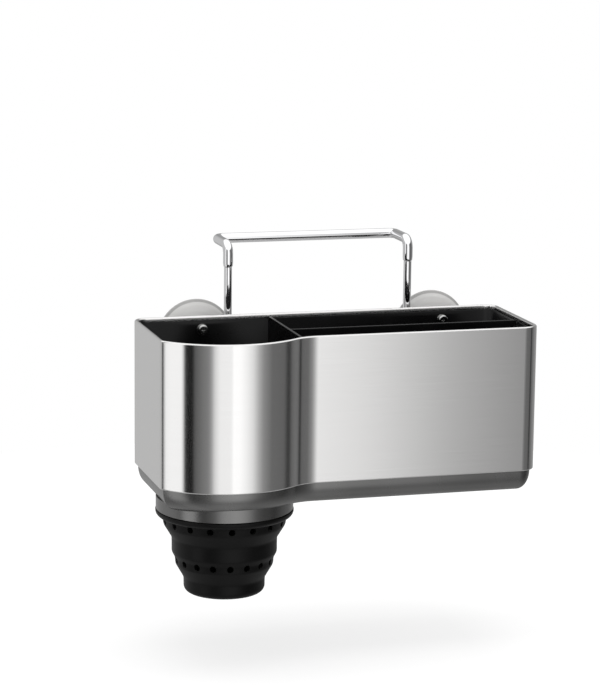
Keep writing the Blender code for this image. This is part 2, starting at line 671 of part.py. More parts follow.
def build_cup_ring():
    """Ring that snaps through the base's hole and carries the cup on its flange."""
    outer = ring_outer()
    catch_low = BASE_FLOOR + SKIRT_CURB + CLEARANCE
    top = BASE_FLOOR + SKIRT_CURB + RING_TOP
    foot = SKIRT_BOTTOM - RING_DROP
    flange_top = foot + RING_FLANGE_HEIGHT
    lead = 0.5 * MM
    profile = [(outer - lead, top), (outer, top - lead), (outer, flange_top),
               (outer + RING_FLANGE, flange_top), (outer + RING_FLANGE, foot), (outer - RING_WALL, foot),
               (outer - RING_WALL, top)]
    ring = turned("cup_ring", profile, PARTS, CUP_SEAT, (0.0, 0.0, 0.0), CUP_SIDES)
    middle = outer - RING_WALL / 2
    wedge = [(middle, top - lead), (outer, top - lead), (outer + SNAP_REACH, catch_low + lead),
             (outer + SNAP_REACH, catch_low), (middle, catch_low)]
    bm = bmesh.new()
    for i in range(SNAP_COUNT):
        start = radians(45.0 + 360.0 * i / SNAP_COUNT - SNAP_ANGLE / 2)
        verts = [bm.verts.new((r * cos(start), r * sin(start), z)) for r, z in wedge]
        face = bm.faces.new(verts)
        bmesh.ops.spin(bm, geom=[face], cent=(0.0, 0.0, 0.0), axis=(0.0, 0.0, 1.0),
                       angle=radians(SNAP_ANGLE), steps=3)
    catches = new_object("snap_catches", mesh_from("snap_catches", bm), CUTTERS, CUP_SEAT)
    combine(ring, cutter(catches), "UNION")
    finish(ring, GREY)


def cup_levels():
    """Heights at which the cup's bands and folds meet, from the skirt down."""
    top = SKIRT_BOTTOM - CLEARANCE
    band_1 = top - LIP_HEIGHT - LIP_ROUND
    fold_1 = band_1 - BAND_1_HEIGHT
    band_2 = fold_1 - FOLD_1_HEIGHT
    band_3 = band_2 - BAND_2_HEIGHT - SHOULDER
    fold_2 = band_3 - BAND_3_HEIGHT
    band_4 = fold_2 - FOLD_2_HEIGHT
    return top, band_1, fold_1, band_2, band_3, fold_2, band_4, band_4 - BAND_4_HEIGHT


def drain_holes(name, height, radius, parent):
    """Round cutters all round one band of the cup, each in the middle of a facet."""
    tools = []
    half_side = pi / CUP_SIDES
    for i in range(DRAIN_COUNT):
        turn = Matrix.Rotation(2 * pi * i / DRAIN_COUNT + half_side, 4, "Z")
        place = turn @ Matrix.Translation((radius - CUP_WALL / 2, 0.0, height))
        tools.append(drill(place @ Matrix.Rotation(pi / 2, 4, "Y")))
    return tool_mesh(name, tools, parent)


def drill(matrix):
    """The cutter for one drain hole."""
    def build(bm):
        bmesh.ops.create_cone(bm, cap_ends=True, segments=8, radius1=DRAIN_RADIUS, radius2=DRAIN_RADIUS,
                              depth=6 * CUP_WALL, matrix=matrix)
    return build


def cup_piece(name, profile, parent):
    """One band or fold of the cup, turned about the cup's axis."""
    return finish(turned(name, profile, PARTS, parent, (0.0, 0.0, 0.0), CUP_SIDES), SILICONE)


def cup_fold(name, upper, upper_z, lower, lower_z, parent):
    """A thin cone that turns inside out when the cup is pushed up."""
    cup_piece(name, [(upper, upper_z), (lower, lower_z), (lower - FOLD_WALL, lower_z),
                     (upper - FOLD_WALL, upper_z)], parent)


def build_cup_lip():
    """Thick lip that grips the ring's flange, with the upper row of drain holes under it."""
    top, band_1, fold_1 = cup_levels()[:3]
    outer = ring_outer() + CLEARANCE
    flange = outer + RING_FLANGE
    flange_low = SKIRT_BOTTOM - RING_DROP - CLEARANCE
    flange_high = flange_low + RING_FLANGE_HEIGHT + 2 * CLEARANCE
    foot = fold_1 + CLEARANCE / 2
    foot_radius = BAND_1_RADIUS - BAND_1_TAPER
    profile = [(LIP_RADIUS, top)]
    profile += [(LIP_RADIUS - (LIP_RADIUS - BAND_1_RADIUS) * (1.0 - cos(radians(a))),
                 top - LIP_HEIGHT - LIP_ROUND * sin(radians(a))) for a in (0.0, 30.0, 60.0, 90.0)]
    profile += [(foot_radius, foot), (foot_radius - CUP_WALL, foot), (BAND_1_RADIUS - 2 * CUP_WALL, band_1)]
    profile += [(outer - RING_WALL - 2 * CLEARANCE, flange_low), (flange, flange_low), (flange, flange_high)]
    profile += [(outer, flange_high), (outer, top)]
    lip = cup_piece("cup_lip", profile, CUP_SEAT)
    combine(lip, drain_holes("lip_drains", band_1 - UPPER_DRAIN_DROP, BAND_1_RADIUS, CUP_SEAT), "DIFFERENCE")


def build_cup_middle():
    """Stiff middle of the cup with the lower row of drain holes under its shoulder."""
    band_2, band_3, fold_2 = cup_levels()[3:6]
    half_gap = CLEARANCE / 2
    shoulder_top = band_3 + SHOULDER
    neck = BAND_2_RADIUS + BAND_2_FLARE
    foot = BAND_3_RADIUS - BAND_3_TAPER
    profile = [(neck, band_2 - half_gap), (BAND_2_RADIUS, band_2 - CUP_WALL), (BAND_2_RADIUS, shoulder_top)]
    profile += [(BAND_3_RADIUS, band_3), (foot, fold_2 + half_gap), (foot - CUP_WALL, fold_2 + half_gap)]
    profile += [(BAND_3_RADIUS - CUP_WALL, band_3), (BAND_2_RADIUS - CUP_WALL, shoulder_top)]
    profile += [(neck - CUP_WALL, band_2 - half_gap)]
    middle = cup_piece("cup_middle_ring", profile, CUP_STAGE_1)
    holes = drain_holes("middle_drains", band_3 - LOWER_DRAIN_DROP, BAND_3_RADIUS, CUP_STAGE_1)
    combine(middle, holes, "DIFFERENCE")


def build_cup_bottom():
    """Closed end of the cup, where the brush's head stands."""
    band_4, bottom = cup_levels()[6:]
    half_gap = CLEARANCE / 2
    centre = BAND_4_RADIUS - CUP_BOTTOM_ROUND
    round_z = bottom + CUP_BOTTOM_ROUND
    inner = CUP_BOTTOM_ROUND - CUP_WALL
    turn = [radians(a) for a in (0.0, 30.0, 60.0, 90.0)]
    neck = BAND_4_RADIUS + BAND_4_FLARE
    profile = [(0.0, bottom + CUP_WALL)]
    profile += [(centre + inner * cos(a), round_z - inner * sin(a)) for a in reversed(turn)]
    profile += [(neck - CUP_WALL, band_4 - half_gap), (neck, band_4 - half_gap)]
    profile += [(BAND_4_RADIUS, band_4 - CUP_WALL)]
    profile += [(centre + CUP_BOTTOM_ROUND * cos(a), round_z - CUP_BOTTOM_ROUND * sin(a)) for a in turn]
    profile += [(0.0, bottom)]
    cup_piece("cup_bottom", profile, CUP_STAGE_2)


def build_cup():
    """Soft cup in five bands from the lip down. Its two folds let it shrink upwards."""
    fold_1, band_2 = cup_levels()[2:4]
    fold_2, band_4 = cup_levels()[5:7]
    half_gap = CLEARANCE / 2
    build_cup_lip()
    cup_fold("cup_upper_fold", BAND_1_RADIUS - BAND_1_TAPER, fold_1 - half_gap,
             BAND_2_RADIUS + BAND_2_FLARE, band_2 + half_gap, CUP_SEAT)
    build_cup_middle()
    cup_fold("cup_lower_fold", BAND_3_RADIUS - BAND_3_TAPER, fold_2 - half_gap,
             BAND_4_RADIUS + BAND_4_FLARE, band_4 + half_gap, CUP_STAGE_1)
    build_cup_bottom()


def bend(centre, start, end, steps):
    """Points of a quarter turn in space, from one arm of its centre to the other."""
    turns = [pi / 2 * i / steps for i in range(steps + 1)]
    return [Vector(centre) + Vector(start) * cos(a) + Vector(end) * sin(a) for a in turns]


def mirrored_bar(name, half_points, half_radii, surface):
    """A round bar through points and their mirror images, with a flat facet underneath."""
    points = half_points + [Vector((-p.x, p.y, p.z)) for p in reversed(half_points)]
    radii = half_radii + half_radii[::-1]
    thickest = max(radii)
    curve = bpy.data.curves.new(name, "CURVE")
    curve.dimensions = "3D"
    curve.bevel_depth = thickest
    curve.bevel_resolution = (TUBE_SIDES - 4) // 2
    curve.use_fill_caps = True
    line = curve.splines.new("POLY")
    line.points.add(len(points) - 1)
    for point, place, radius in zip(line.points, points, radii):
        point.co = (*place, 1.0)
        point.radius = radius / thickest
        point.tilt = HALF_FACET
    return finish(curve_to_mesh(name, curve, PARTS, HOOK), surface, 50.0)


def build_hook_tube():
    """Bent tube: two short legs, two arms that reach back and the bar between them."""
    half = HOOK_SPAN / 2
    leg_end = HOOK_RISE - TUBE_LEG
    points = [Vector((-half, 0.0, leg_end)), Vector((-half, 0.0, leg_end + TUBE_TIP_LENGTH))]
    points += bend((-half, ELBOW_RADIUS, HOOK_RISE - ELBOW_RADIUS), (0.0, -ELBOW_RADIUS, 0.0),
                   (0.0, 0.0, ELBOW_RADIUS), 5)
    points += bend((-half + BAR_BEND, ARM_REACH - BAR_BEND, HOOK_RISE), (-BAR_BEND, 0.0, 0.0),
                   (0.0, BAR_BEND, 0.0), 4)
    radii = [TUBE_TIP] + [TUBE_RADIUS] * (len(points) - 1)
    tube = mirrored_bar("hook_tube", points, radii, CHROME)
    depth = SPIGOT_LENGTH + CLEARANCE
    bores = [rod(SPIGOT_RADIUS + CLEARANCE, (x, 0.0, leg_end), 2 * depth, sides=TUBE_SIDES)
             for x in (-half, half)]
    combine(tube, tool_mesh("tube_bores", bores, HOOK), "DIFFERENCE")


def build_hook_wire():
    """Bent wire that slides in the brackets, its thinner ends pressed into the tube."""
    half = HOOK_SPAN / 2
    shoulder = HOOK_RISE - TUBE_LEG - CLEARANCE
    step = WIRE_RADIUS - SPIGOT_RADIUS
    points = [Vector((-half, 0.0, z)) for z in (shoulder + SPIGOT_LENGTH, shoulder, shoulder - step)]
    points += bend((-half + WIRE_BEND, 0.0, -WIRE_DROP + WIRE_BEND), (-WIRE_BEND, 0.0, 0.0),
                   (0.0, 0.0, -WIRE_BEND), 6)
    radii = [SPIGOT_RADIUS] * 2 + [WIRE_RADIUS] * (len(points) - 2)
    mirrored_bar("hook_wire", points, radii, CHROME)


def rounded_rectangle(middle, width, height, radius):
    """Outline of a rectangle with round corners."""
    x, z = width / 2 - radius, height / 2 - radius
    points = []
    for sx, sz, start in ((1, 1, 0.0), (-1, 1, 90.0), (-1, -1, 180.0), (1, -1, 270.0)):
        points += arc((middle[0] + sx * x, middle[1] + sz * z), radius, start, start + 90.0, 3)
    return points


def slot_outline(middle, end, half, out):
    """Outline of a slot with one round end, open towards the bracket's outer side."""
    round_end = arc((middle, SUCTION_Z), half, -90.0, -90.0 - 180.0 * out, 8)
    return [(end, SUCTION_Z - half)] + round_end + [(end, SUCTION_Z + half)]


def bush_outer():
    """Outer radius of the bush that grips the wire."""
    return WIRE_RADIUS + CLEARANCE + BUSH_WALL


def build_bracket(side, wire_x, out):
    """Moulded block behind the back wall: a bore for the wire and a side slot for the cup."""
    near = wire_x - out * BRACKET_INNER
    far = wire_x + out * BRACKET_REACH
    middle = ((near + far) / 2, BRACKET_TOP - BRACKET_HEIGHT / 2)
    front, back = CLEARANCE, CLEARANCE + BRACKET_THICKNESS
    shape = rounded_rectangle(middle, abs(far - near), BRACKET_HEIGHT, BRACKET_CORNER)
    bracket = plate("bracket_" + side, shape, front, back, "Y")
    centre = (wire_x, WIRE_STANDOFF, middle[1])
    boss = rod(bush_outer() + CLEARANCE + BOSS_WALL, centre, BRACKET_HEIGHT, sides=16)
    combine(bracket, tool_mesh("boss_" + side, [boss], CADDY), "UNION")

    cup_x = wire_x + out * SUCTION_OFFSET
    end = far + out * BRACKET_CORNER
    button_high = back - SUCTION_LIP
    button_low = button_high - SUCTION_HEAD_HEIGHT - 2 * CLEARANCE
    pocket = slot_outline(cup_x, end, SUCTION_HEAD + CLEARANCE, out)
    throat = slot_outline(cup_x, end, SUCTION_NECK + CLEARANCE, out)
    pocket_tool = plate("pocket_" + side, pocket, button_low, button_high, "Y", CUTTERS)
    throat_tool = plate("throat_" + side, throat, button_low + CLEARANCE, back + SUCTION_LIP, "Y", CUTTERS)
    combine(bracket, cutter(pocket_tool), "DIFFERENCE")
    combine(bracket, cutter(throat_tool), "DIFFERENCE")

    holes = [rod(bush_outer() + CLEARANCE, centre, 2 * BRACKET_HEIGHT, sides=16)]
    holes += [rod(SCREW_SHANK + CLEARANCE, (x, 0.0, z), 2 * (SCREW_REACH + CLEARANCE), "Y", 10)
              for x, z in bracket_screw_places() if x * out > wire_x * out]
    combine(bracket, tool_mesh("bracket_holes_" + side, holes, CADDY), "DIFFERENCE")
    finish(bracket, GREY)


def build_bush(side, wire_x):
    """Soft bush that grips the wire in its bracket."""
    inner = WIRE_RADIUS + CLEARANCE
    outer = bush_outer()
    seat = BRACKET_TOP + CLEARANCE
    top = seat + BUSH_FLANGE_HEIGHT
    profile = [(inner, top), (outer + BUSH_FLANGE, top), (outer + BUSH_FLANGE, seat), (outer, seat),
               (outer, top - BUSH_LENGTH), (inner, top - BUSH_LENGTH)]
    bush = turned("grip_bush_" + side, profile, PARTS, CADDY, (wire_x, WIRE_STANDOFF, 0.0), 16)
    finish(bush, BLACK)


def build_suction_cup(side, cup_x):
    """Vinyl cup with a flat sealing edge, a hub and a button that slides into the bracket."""
    back = CLEARANCE + BRACKET_THICKNESS
    head_high = back - SUCTION_LIP - CLEARANCE
    head_low = head_high - SUCTION_HEAD_HEIGHT
    hub_low = back + CLEARANCE
    hub_high = hub_low + SUCTION_HUB_HEIGHT
    edge_front = SUCTION_PLANE - SUCTION_EDGE
    land = SUCTION_RADIUS - SUCTION_LAND
    steps = 5
    dome = [(SUCTION_HUB + (SUCTION_RADIUS - SUCTION_HUB) * i / steps,
             hub_high + (edge_front - hub_high) * (1.0 - (1.0 - i / steps) ** SUCTION_SWELL))
            for i in range(steps + 1)]
    hollow = [(land * i / steps, SUCTION_PLANE - SUCTION_HOLLOW * cos(pi / 2 * i / steps))
              for i in range(steps + 1)]
    profile = hollow + [(SUCTION_RADIUS, SUCTION_PLANE)] + dome[::-1]
    profile += [(SUCTION_HUB, hub_low), (SUCTION_NECK, hub_low), (SUCTION_NECK, head_high)]
    profile += [(SUCTION_HEAD, head_high), (SUCTION_HEAD, head_low), (0.0, head_low)]
    cup = turned("suction_cup_" + side, profile, PARTS, CADDY, (cup_x, 0.0, SUCTION_Z), 24, "Y")
    finish(cup, CLEAR)


def build_bracket_fixings():
    """Four pan head screws with washers, driven from inside the wells into the brackets."""
    washer_seat = -WELL_INSET - CLEARANCE
    bore = SCREW_SHANK + CLEARANCE
    washer = [(bore, WASHER_HEIGHT), (WASHER_RADIUS, WASHER_HEIGHT), (WASHER_RADIUS, 0.0), (bore, 0.0)]
    places = [(x, washer_seat, z) for x, z in bracket_screw_places()]
    copies_at("bracket_washer", turned_mesh("washer", washer, 14), places, pi / 2, ZINC)
    head_seat = washer_seat - WASHER_HEIGHT - CLEARANCE
    mesh = pan_screw("bracket_screw", SCREW_HEAD, SCREW_HEAD_HEIGHT, SCREW_SHANK, SCREW_REACH - head_seat, 10)
    places = [(x, head_seat, z) for x, z in bracket_screw_places()]
    copies_at("bracket_screw", mesh, places, pi / 2, ZINC)


build_shell()
build_liner()
build_sponge_divider()
build_base()
build_base_screws()
build_cup_ring()
build_cup()
build_hook_tube()
build_hook_wire()
for leg_side, leg_x, leg_out in sides_of_hook():
    build_bracket(leg_side, leg_x, leg_out)
    build_bush(leg_side, leg_x)
    build_suction_cup(leg_side, leg_x + leg_out * SUCTION_OFFSET)
build_bracket_fixings()
bpy.context.view_layer.update()
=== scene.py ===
"""Looks of a hanging sink caddy: steel band, black liner, grey tray, folding cup, chrome hook."""

from math import atan2, cos, degrees, pi, radians, sin, sqrt

import bmesh
import bpy
from mathutils import Matrix, Quaternion, Vector


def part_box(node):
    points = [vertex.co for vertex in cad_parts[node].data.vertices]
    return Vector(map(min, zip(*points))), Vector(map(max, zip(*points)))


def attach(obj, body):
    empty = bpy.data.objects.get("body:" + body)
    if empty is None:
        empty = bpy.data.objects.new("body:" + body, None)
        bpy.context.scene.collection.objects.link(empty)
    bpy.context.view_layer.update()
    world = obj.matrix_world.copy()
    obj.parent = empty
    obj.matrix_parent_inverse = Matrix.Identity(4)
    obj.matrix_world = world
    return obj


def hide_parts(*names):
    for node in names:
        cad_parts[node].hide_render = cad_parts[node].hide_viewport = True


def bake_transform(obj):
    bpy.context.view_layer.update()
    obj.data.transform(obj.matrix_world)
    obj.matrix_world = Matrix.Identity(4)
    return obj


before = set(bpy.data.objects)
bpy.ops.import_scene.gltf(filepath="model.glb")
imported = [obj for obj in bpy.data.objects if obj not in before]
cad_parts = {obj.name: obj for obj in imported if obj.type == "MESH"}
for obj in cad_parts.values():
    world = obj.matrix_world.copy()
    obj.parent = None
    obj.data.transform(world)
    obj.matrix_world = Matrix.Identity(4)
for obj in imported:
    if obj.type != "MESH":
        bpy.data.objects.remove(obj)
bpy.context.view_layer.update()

# Steel band. One strip of stainless sheet, brushed along its length, bent round the plan and
# welded at the back. Its rim is rolled inwards and its foot is turned in as a narrow flange.
MM = 0.001
BACK_LEFT_RIM = Vector((-123.9, -39.5, -39.357)) * MM
LENGTH, DEPTH, BAND_HEIGHT = 240.0 * MM, 84.6 * MM, 91.2 * MM
BACK_CORNER, FRONT_CORNER, SIDE_CORNER = 9.0 * MM, 11.0 * MM, 4.5 * MM
BULGE_X, BULGE_RADIUS, BULGE_REACH, BULGE_FILLET = 46.2 * MM, 57.0 * MM, 17.4 * MM, 25.0 * MM
BULGE_Y = BULGE_RADIUS - DEPTH - BULGE_REACH
SHEET, HEM_WIDTH, HEM_HEIGHT, FLANGE_WIDTH = 0.8 * MM, 2.4 * MM, 2.5 * MM, 1.8 * MM
SMALLEST_CORNER, SHORTEST_EDGE = 0.4 * MM, 0.12 * MM
VANISHING = 0.14                # an arc's edge shorter than this share of an inset is lost in it
MERGE = 0.001 * MM


def draw_plan(inset, height):
    """The caddy's plan as one face: each corner is a spun point, and straights join them."""
    back = max(BACK_CORNER - inset, SMALLEST_CORNER)
    front = max(FRONT_CORNER - inset, SMALLEST_CORNER)
    side = max(SIDE_CORNER - inset, SMALLEST_CORNER)
    bulge = BULGE_RADIUS - inset
    side_x = inset + side
    side_y = BULGE_Y - sqrt((bulge - side) ** 2 - (BULGE_X - side_x) ** 2)
    fillet_y = -DEPTH - BULGE_FILLET
    fillet_x = BULGE_X + sqrt((BULGE_RADIUS + BULGE_FILLET) ** 2 - (BULGE_Y - fillet_y) ** 2)
    bulge_start = 360 + degrees(atan2(side_y - BULGE_Y, side_x - BULGE_X))
    bulge_end = 360 + degrees(atan2(fillet_y - BULGE_Y, fillet_x - BULGE_X))
    corners = [(LENGTH - inset - back, -inset - back, back, 0, 90, 12),
               (inset + back, -inset - back, back, 90, 180, 12),
               (side_x, side_y, side, 180, bulge_start, 8),
               (BULGE_X, BULGE_Y, bulge, bulge_start, bulge_end, 64),
               (fillet_x, fillet_y, BULGE_FILLET + inset, bulge_end - 180, 90, 16),
               (LENGTH - inset - front, -DEPTH + inset + front, front, -90, 0, 14)]
    bm = bmesh.new()
    first = pen = None
    for x, y, radius, start, end, steps in corners:
        begin = radians(start)
        point = bm.verts.new((x + radius * cos(begin), y + radius * sin(begin), height))
        if pen:
            bm.edges.new((pen, point))
        first = first or point
        turned = bmesh.ops.spin(bm, geom=[point], cent=(x, y, height), axis=(0, 0, 1),
                                angle=radians(end - start), steps=steps)
        pen = turned["geom_last"][0]
    bm.edges.new((pen, first))
    bmesh.ops.remove_doubles(bm, verts=bm.verts, dist=MERGE)
    bmesh.ops.contextual_create(bm, geom=bm.edges)
    if bm.faces[:][0].normal.z < 0:
        bmesh.ops.reverse_faces(bm, faces=bm.faces)
    return bm


def carry_up(bm, profile):
    """Carry the plan's face through steps of (inset, height), each adding a band round it.

    A corner that is about to run out of radius is drawn together to a point first.
    """
    face = bm.faces[:][0]
    for (inset, height), (next_inset, next_height) in zip(profile, profile[1:]):
        step = next_inset - inset
        short = [e for e in face.edges if e.calc_length() < max(SHORTEST_EDGE, VANISHING * step)]
        if short:
            bmesh.ops.collapse(bm, edges=short)
            face = max(bm.faces, key=lambda f: len(f.verts))
        bmesh.ops.inset_region(bm, faces=[face], thickness=step, depth=next_height - height,
                               use_even_offset=True, use_boundary=True)
    return face


def piece_from(bm, name, material, body, nodes, sharp=30.0, place=BACK_LEFT_RIM):
    """Finish a mesh as a piece of the caddy: smooth, with sharp edges kept, on its body."""
    bmesh.ops.translate(bm, verts=bm.verts, vec=place)
    mesh = bpy.data.meshes.new(name)
    bm.to_mesh(mesh)
    bm.free()
    mesh.shade_smooth()
    mesh.set_sharp_from_angle(angle=radians(sharp))
    piece = bpy.data.objects.new(name, mesh)
    bpy.context.scene.collection.objects.link(piece)
    mesh.materials.append(material)
    if body:
        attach(piece, body)
    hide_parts(*nodes)
    return piece


def shade_flat_walls(piece):
    """Let a piece's large faces set its shading, so that a small round doesn't bend it."""
    flatten = piece.modifiers.new("flat_walls", "WEIGHTED_NORMAL")
    flatten.keep_sharp = True


def new_material(name, **sockets):
    """A material whose constant values are set on the shader's own sockets."""
    material = bpy.data.materials.new(name)
    material.use_nodes = True
    shader = material.node_tree.nodes["Principled BSDF"]
    for socket, value in sockets.items():
        shader.inputs[socket.replace("_", " ")].default_value = value
    return material


def feed(material, source, socket):
    """Link a value to one of the shader's sockets."""
    tree = material.node_tree
    tree.links.new(source, tree.nodes["Principled BSDF"].inputs[socket])


def grain(material, scale, detail=3.0):
    """Noise on the piece's Object coordinates, stretched by a Mapping node."""
    nodes, links = material.node_tree.nodes, material.node_tree.links
    coordinates = nodes.new("ShaderNodeTexCoord")
    mapping = nodes.new("ShaderNodeMapping")
    mapping.inputs["Scale"].default_value = scale
    noise = nodes.new("ShaderNodeTexNoise")
    noise.inputs["Scale"].default_value = 1.0
    noise.inputs["Detail"].default_value = detail
    links.new(coordinates.outputs["Object"], mapping.inputs["Vector"])
    links.new(mapping.outputs["Vector"], noise.inputs["Vector"])
    return noise.outputs["Fac"]


def spread(owner, source, start, end, low=0.0, high=1.0):
    """Map a value from one range to another and clamp it there."""
    tree = owner.node_tree
    node = tree.nodes.new("ShaderNodeMapRange")
    for name, value in (("From Min", start), ("From Max", end), ("To Min", low), ("To Max", high)):
        node.inputs[name].default_value = value
    tree.links.new(source, node.inputs["Value"])
    return node.outputs["Result"]


def colours(owner, source, stops):
    """Colours along a value from 0 to 1, each stop being (place, colour)."""
    tree = owner.node_tree
    node = tree.nodes.new("ShaderNodeValToRGB")
    elements = node.color_ramp.elements
    for i, (place, colour) in enumerate(stops):
        element = elements[i] if i < 2 else elements.new(place)
        element.position = place
        element.color = (*colour, 1.0)
    tree.links.new(source, node.inputs["Fac"])
    return node.outputs["Color"]


def drive(material, source, socket, low, high, start=0.3, end=0.7):
    """Spread a pattern over a range of values for one of the shader's sockets."""
    feed(material, spread(material, source, start, end, low, high), socket)


def tint(material, source, dark, light, start=0.35, end=0.65):
    """Colour a surface between two close tones by a pattern."""
    feed(material, colours(material, source, [(start, dark), (end, light)]), "Base Color")


def roughen(material, source, distance, strength=1.0):
    """Raise a surface by a pattern, in metres."""
    bump = material.node_tree.nodes.new("ShaderNodeBump")
    bump.inputs["Strength"].default_value = strength
    bump.inputs["Distance"].default_value = distance
    material.node_tree.links.new(source, bump.inputs["Height"])
    feed(material, bump.outputs["Normal"], "Normal")


def brushed_steel():
    """Stainless steel with a horizontal grain that stretches its reflections upwards."""
    steel = new_material("brushed_steel", Metallic=1.0, Roughness=0.16, Anisotropic=1.0,
                         Anisotropic_Rotation=0.25)
    hairlines = grain(steel, (30.0, 30.0, 7500.0), 2.0)
    tint(steel, hairlines, (0.725, 0.72, 0.715), (0.765, 0.76, 0.755), 0.3, 0.7)
    drive(steel, hairlines, "Roughness", 0.15, 0.17)
    nodes = steel.node_tree.nodes
    surface = nodes.new("ShaderNodeNewGeometry")
    along = nodes.new("ShaderNodeVectorMath")
    along.operation = "CROSS_PRODUCT"
    along.inputs[1].default_value = (0.0, 0.0, 1.0)
    steel.node_tree.links.new(surface.outputs["Normal"], along.inputs[0])
    feed(steel, along.outputs["Vector"], "Tangent")
    return steel


def hem_profile():
    """Steps of (inset, height) from the foot's flange up the outside, over the hem, down inside."""
    bend, roll, support, chamfer = 1.0 * MM, HEM_WIDTH / 2, 0.4 * MM, 0.3 * MM
    steps = [(FLANGE_WIDTH, -BAND_HEIGHT)]
    steps += [(bend - bend * sin(radians(a)), -BAND_HEIGHT + bend - bend * cos(radians(a)))
              for a in range(0, 91, 15)]
    steps += [(0.0, -roll - support)]
    steps += [(roll - roll * cos(radians(a)), -roll + roll * sin(radians(a)))
              for a in range(0, 181, 15)]
    steps += [(HEM_WIDTH, -HEM_HEIGHT + chamfer), (HEM_WIDTH - chamfer, -HEM_HEIGHT)]
    steps += [(SHEET, -HEM_HEIGHT), (SHEET, -BAND_HEIGHT + SHEET),
              (FLANGE_WIDTH, -BAND_HEIGHT + SHEET)]
    return steps


STEEL = brushed_steel()
band = draw_plan(FLANGE_WIDTH, -BAND_HEIGHT)
last_face = carry_up(band, hem_profile())
bmesh.ops.delete(band, geom=[last_face], context="FACES_ONLY")
bmesh.ops.bridge_loops(band, edges=[e for e in band.edges if e.is_boundary])
bmesh.ops.recalc_face_normals(band, faces=band.faces)
steel_band = piece_from(band, "steel_band", STEEL, "caddy", ["steel_shell"], 40.0)
shade_flat_walls(steel_band)

# Liner. Injection moulded black plastic with a slight shine: a deep well over a round spout, a long
# slotted well, and ribs in it that hold the loose divider.
WELD = 0.004 * MM


def welded(node, name, material, body, sharp=32.0):
    """A smooth copy of a CAD node: its loose triangles are merged before they are shaded."""
    bm = bmesh.new()
    bm.from_mesh(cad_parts[node].data)
    bmesh.ops.remove_doubles(bm, verts=bm.verts, dist=WELD)
    bmesh.ops.dissolve_limit(bm, angle_limit=radians(1.0), verts=bm.verts, edges=bm.edges)
    bmesh.ops.triangulate(bm, faces=[f for f in bm.faces if len(f.verts) > 4])
    return piece_from(bm, name, material, body, [node], sharp, Vector())


def moulded_black():
    """Black plastic: a fine moulded skin with a faint cloudiness in its shine."""
    black = new_material("moulded_black", Specular_IOR_Level=0.18)
    skin = grain(black, (2600.0, 2600.0, 2600.0), 2.0)
    clouds = grain(black, (38.0, 38.0, 38.0), 3.0)
    tint(black, clouds, (0.0035, 0.0035, 0.0037), (0.006, 0.006, 0.0062))
    drive(black, clouds, "Roughness", 0.24, 0.30)
    roughen(black, skin, 0.02 * MM, 0.25)
    return black


BLACK = moulded_black()
welded("liner", "well_liner", BLACK, "caddy")
welded("sponge_divider", "divider_plate", BLACK, "caddy")

# Base. A moulded tray under the band, lacquered a satin metallic grey. A skirt stands round the
# cup's hole, slots drain it, and five screws in bosses hold it to the liner from below.
LINER_INSET, BASE_INSET, BASE_WALL = 1.1 * MM, 2.1 * MM, 1.8 * MM
RIM_TOP, RIM_LOW, BASE_BOTTOM = -89.0 * MM, -90.1 * MM, -104.5 * MM
ROUND_REACH, ROUND_HEIGHT = 8.0 * MM, 12.0 * MM
SKIRT_RADIUS, SKIRT_HOLE, SKIRT_TOP, SKIRT_BOTTOM = 42.3 * MM, 40.1 * MM, -102.1 * MM, -110.2 * MM
CUP_PLACE = (46.2, -54.5)
CUP_AXIS = Vector((*CUP_PLACE, 0.0)) * MM
BASE_SCREWS = [(13.0, -13.0), (101.0, -13.0), (101.0, -71.6), (227.0, -13.0), (227.0, -71.6)]
BOSS_RADIUS, BOSS_LOW, BOSS_HIGH = 5.2 * MM, -103.6 * MM, -91.5 * MM
SHANK_HOLE, SHANK_LOW, SHANK_HIGH = 1.9 * MM, -103.0 * MM, -85.0 * MM
HEAD_RECESS, RECESS_LOW, RECESS_TOP = 3.8 * MM, -110.0 * MM, -102.3 * MM
SLOT_SIZE, SLOT_ROWS, SLOT_LEVEL = (3.0 * MM, 22.0 * MM, 6.0 * MM), (-64.95, -25.55), -103.6
SLOT_COLUMNS = [114.0 + 20.0 * i for i in range(6)]
LATHE_STEPS, LARGE_ROUND, PAST = 144, 1.5 * MM, 5.0 * MM


def round_under(wall):
    """Steps of (inset, height) down the outside or the inside of the tray's round."""
    middle, high = BASE_INSET + ROUND_REACH, BASE_BOTTOM + ROUND_HEIGHT
    reach, drop = ROUND_REACH - wall, ROUND_HEIGHT - wall
    return [(middle - reach * cos(radians(a)), high - drop * sin(radians(a)))
            for a in (0, 8, 16, 24, 32, 40, 47, 54, 60, 66, 72, 78, 84, 90)]


def tub(profile):
    """A closed tub from the plan carried through a profile, its open top filled."""
    bm = draw_plan(*profile[0])
    carry_up(bm, profile)
    bmesh.ops.contextual_create(bm, geom=[e for e in bm.edges if e.is_boundary])
    bmesh.ops.recalc_face_normals(bm, faces=bm.faces)
    return bm


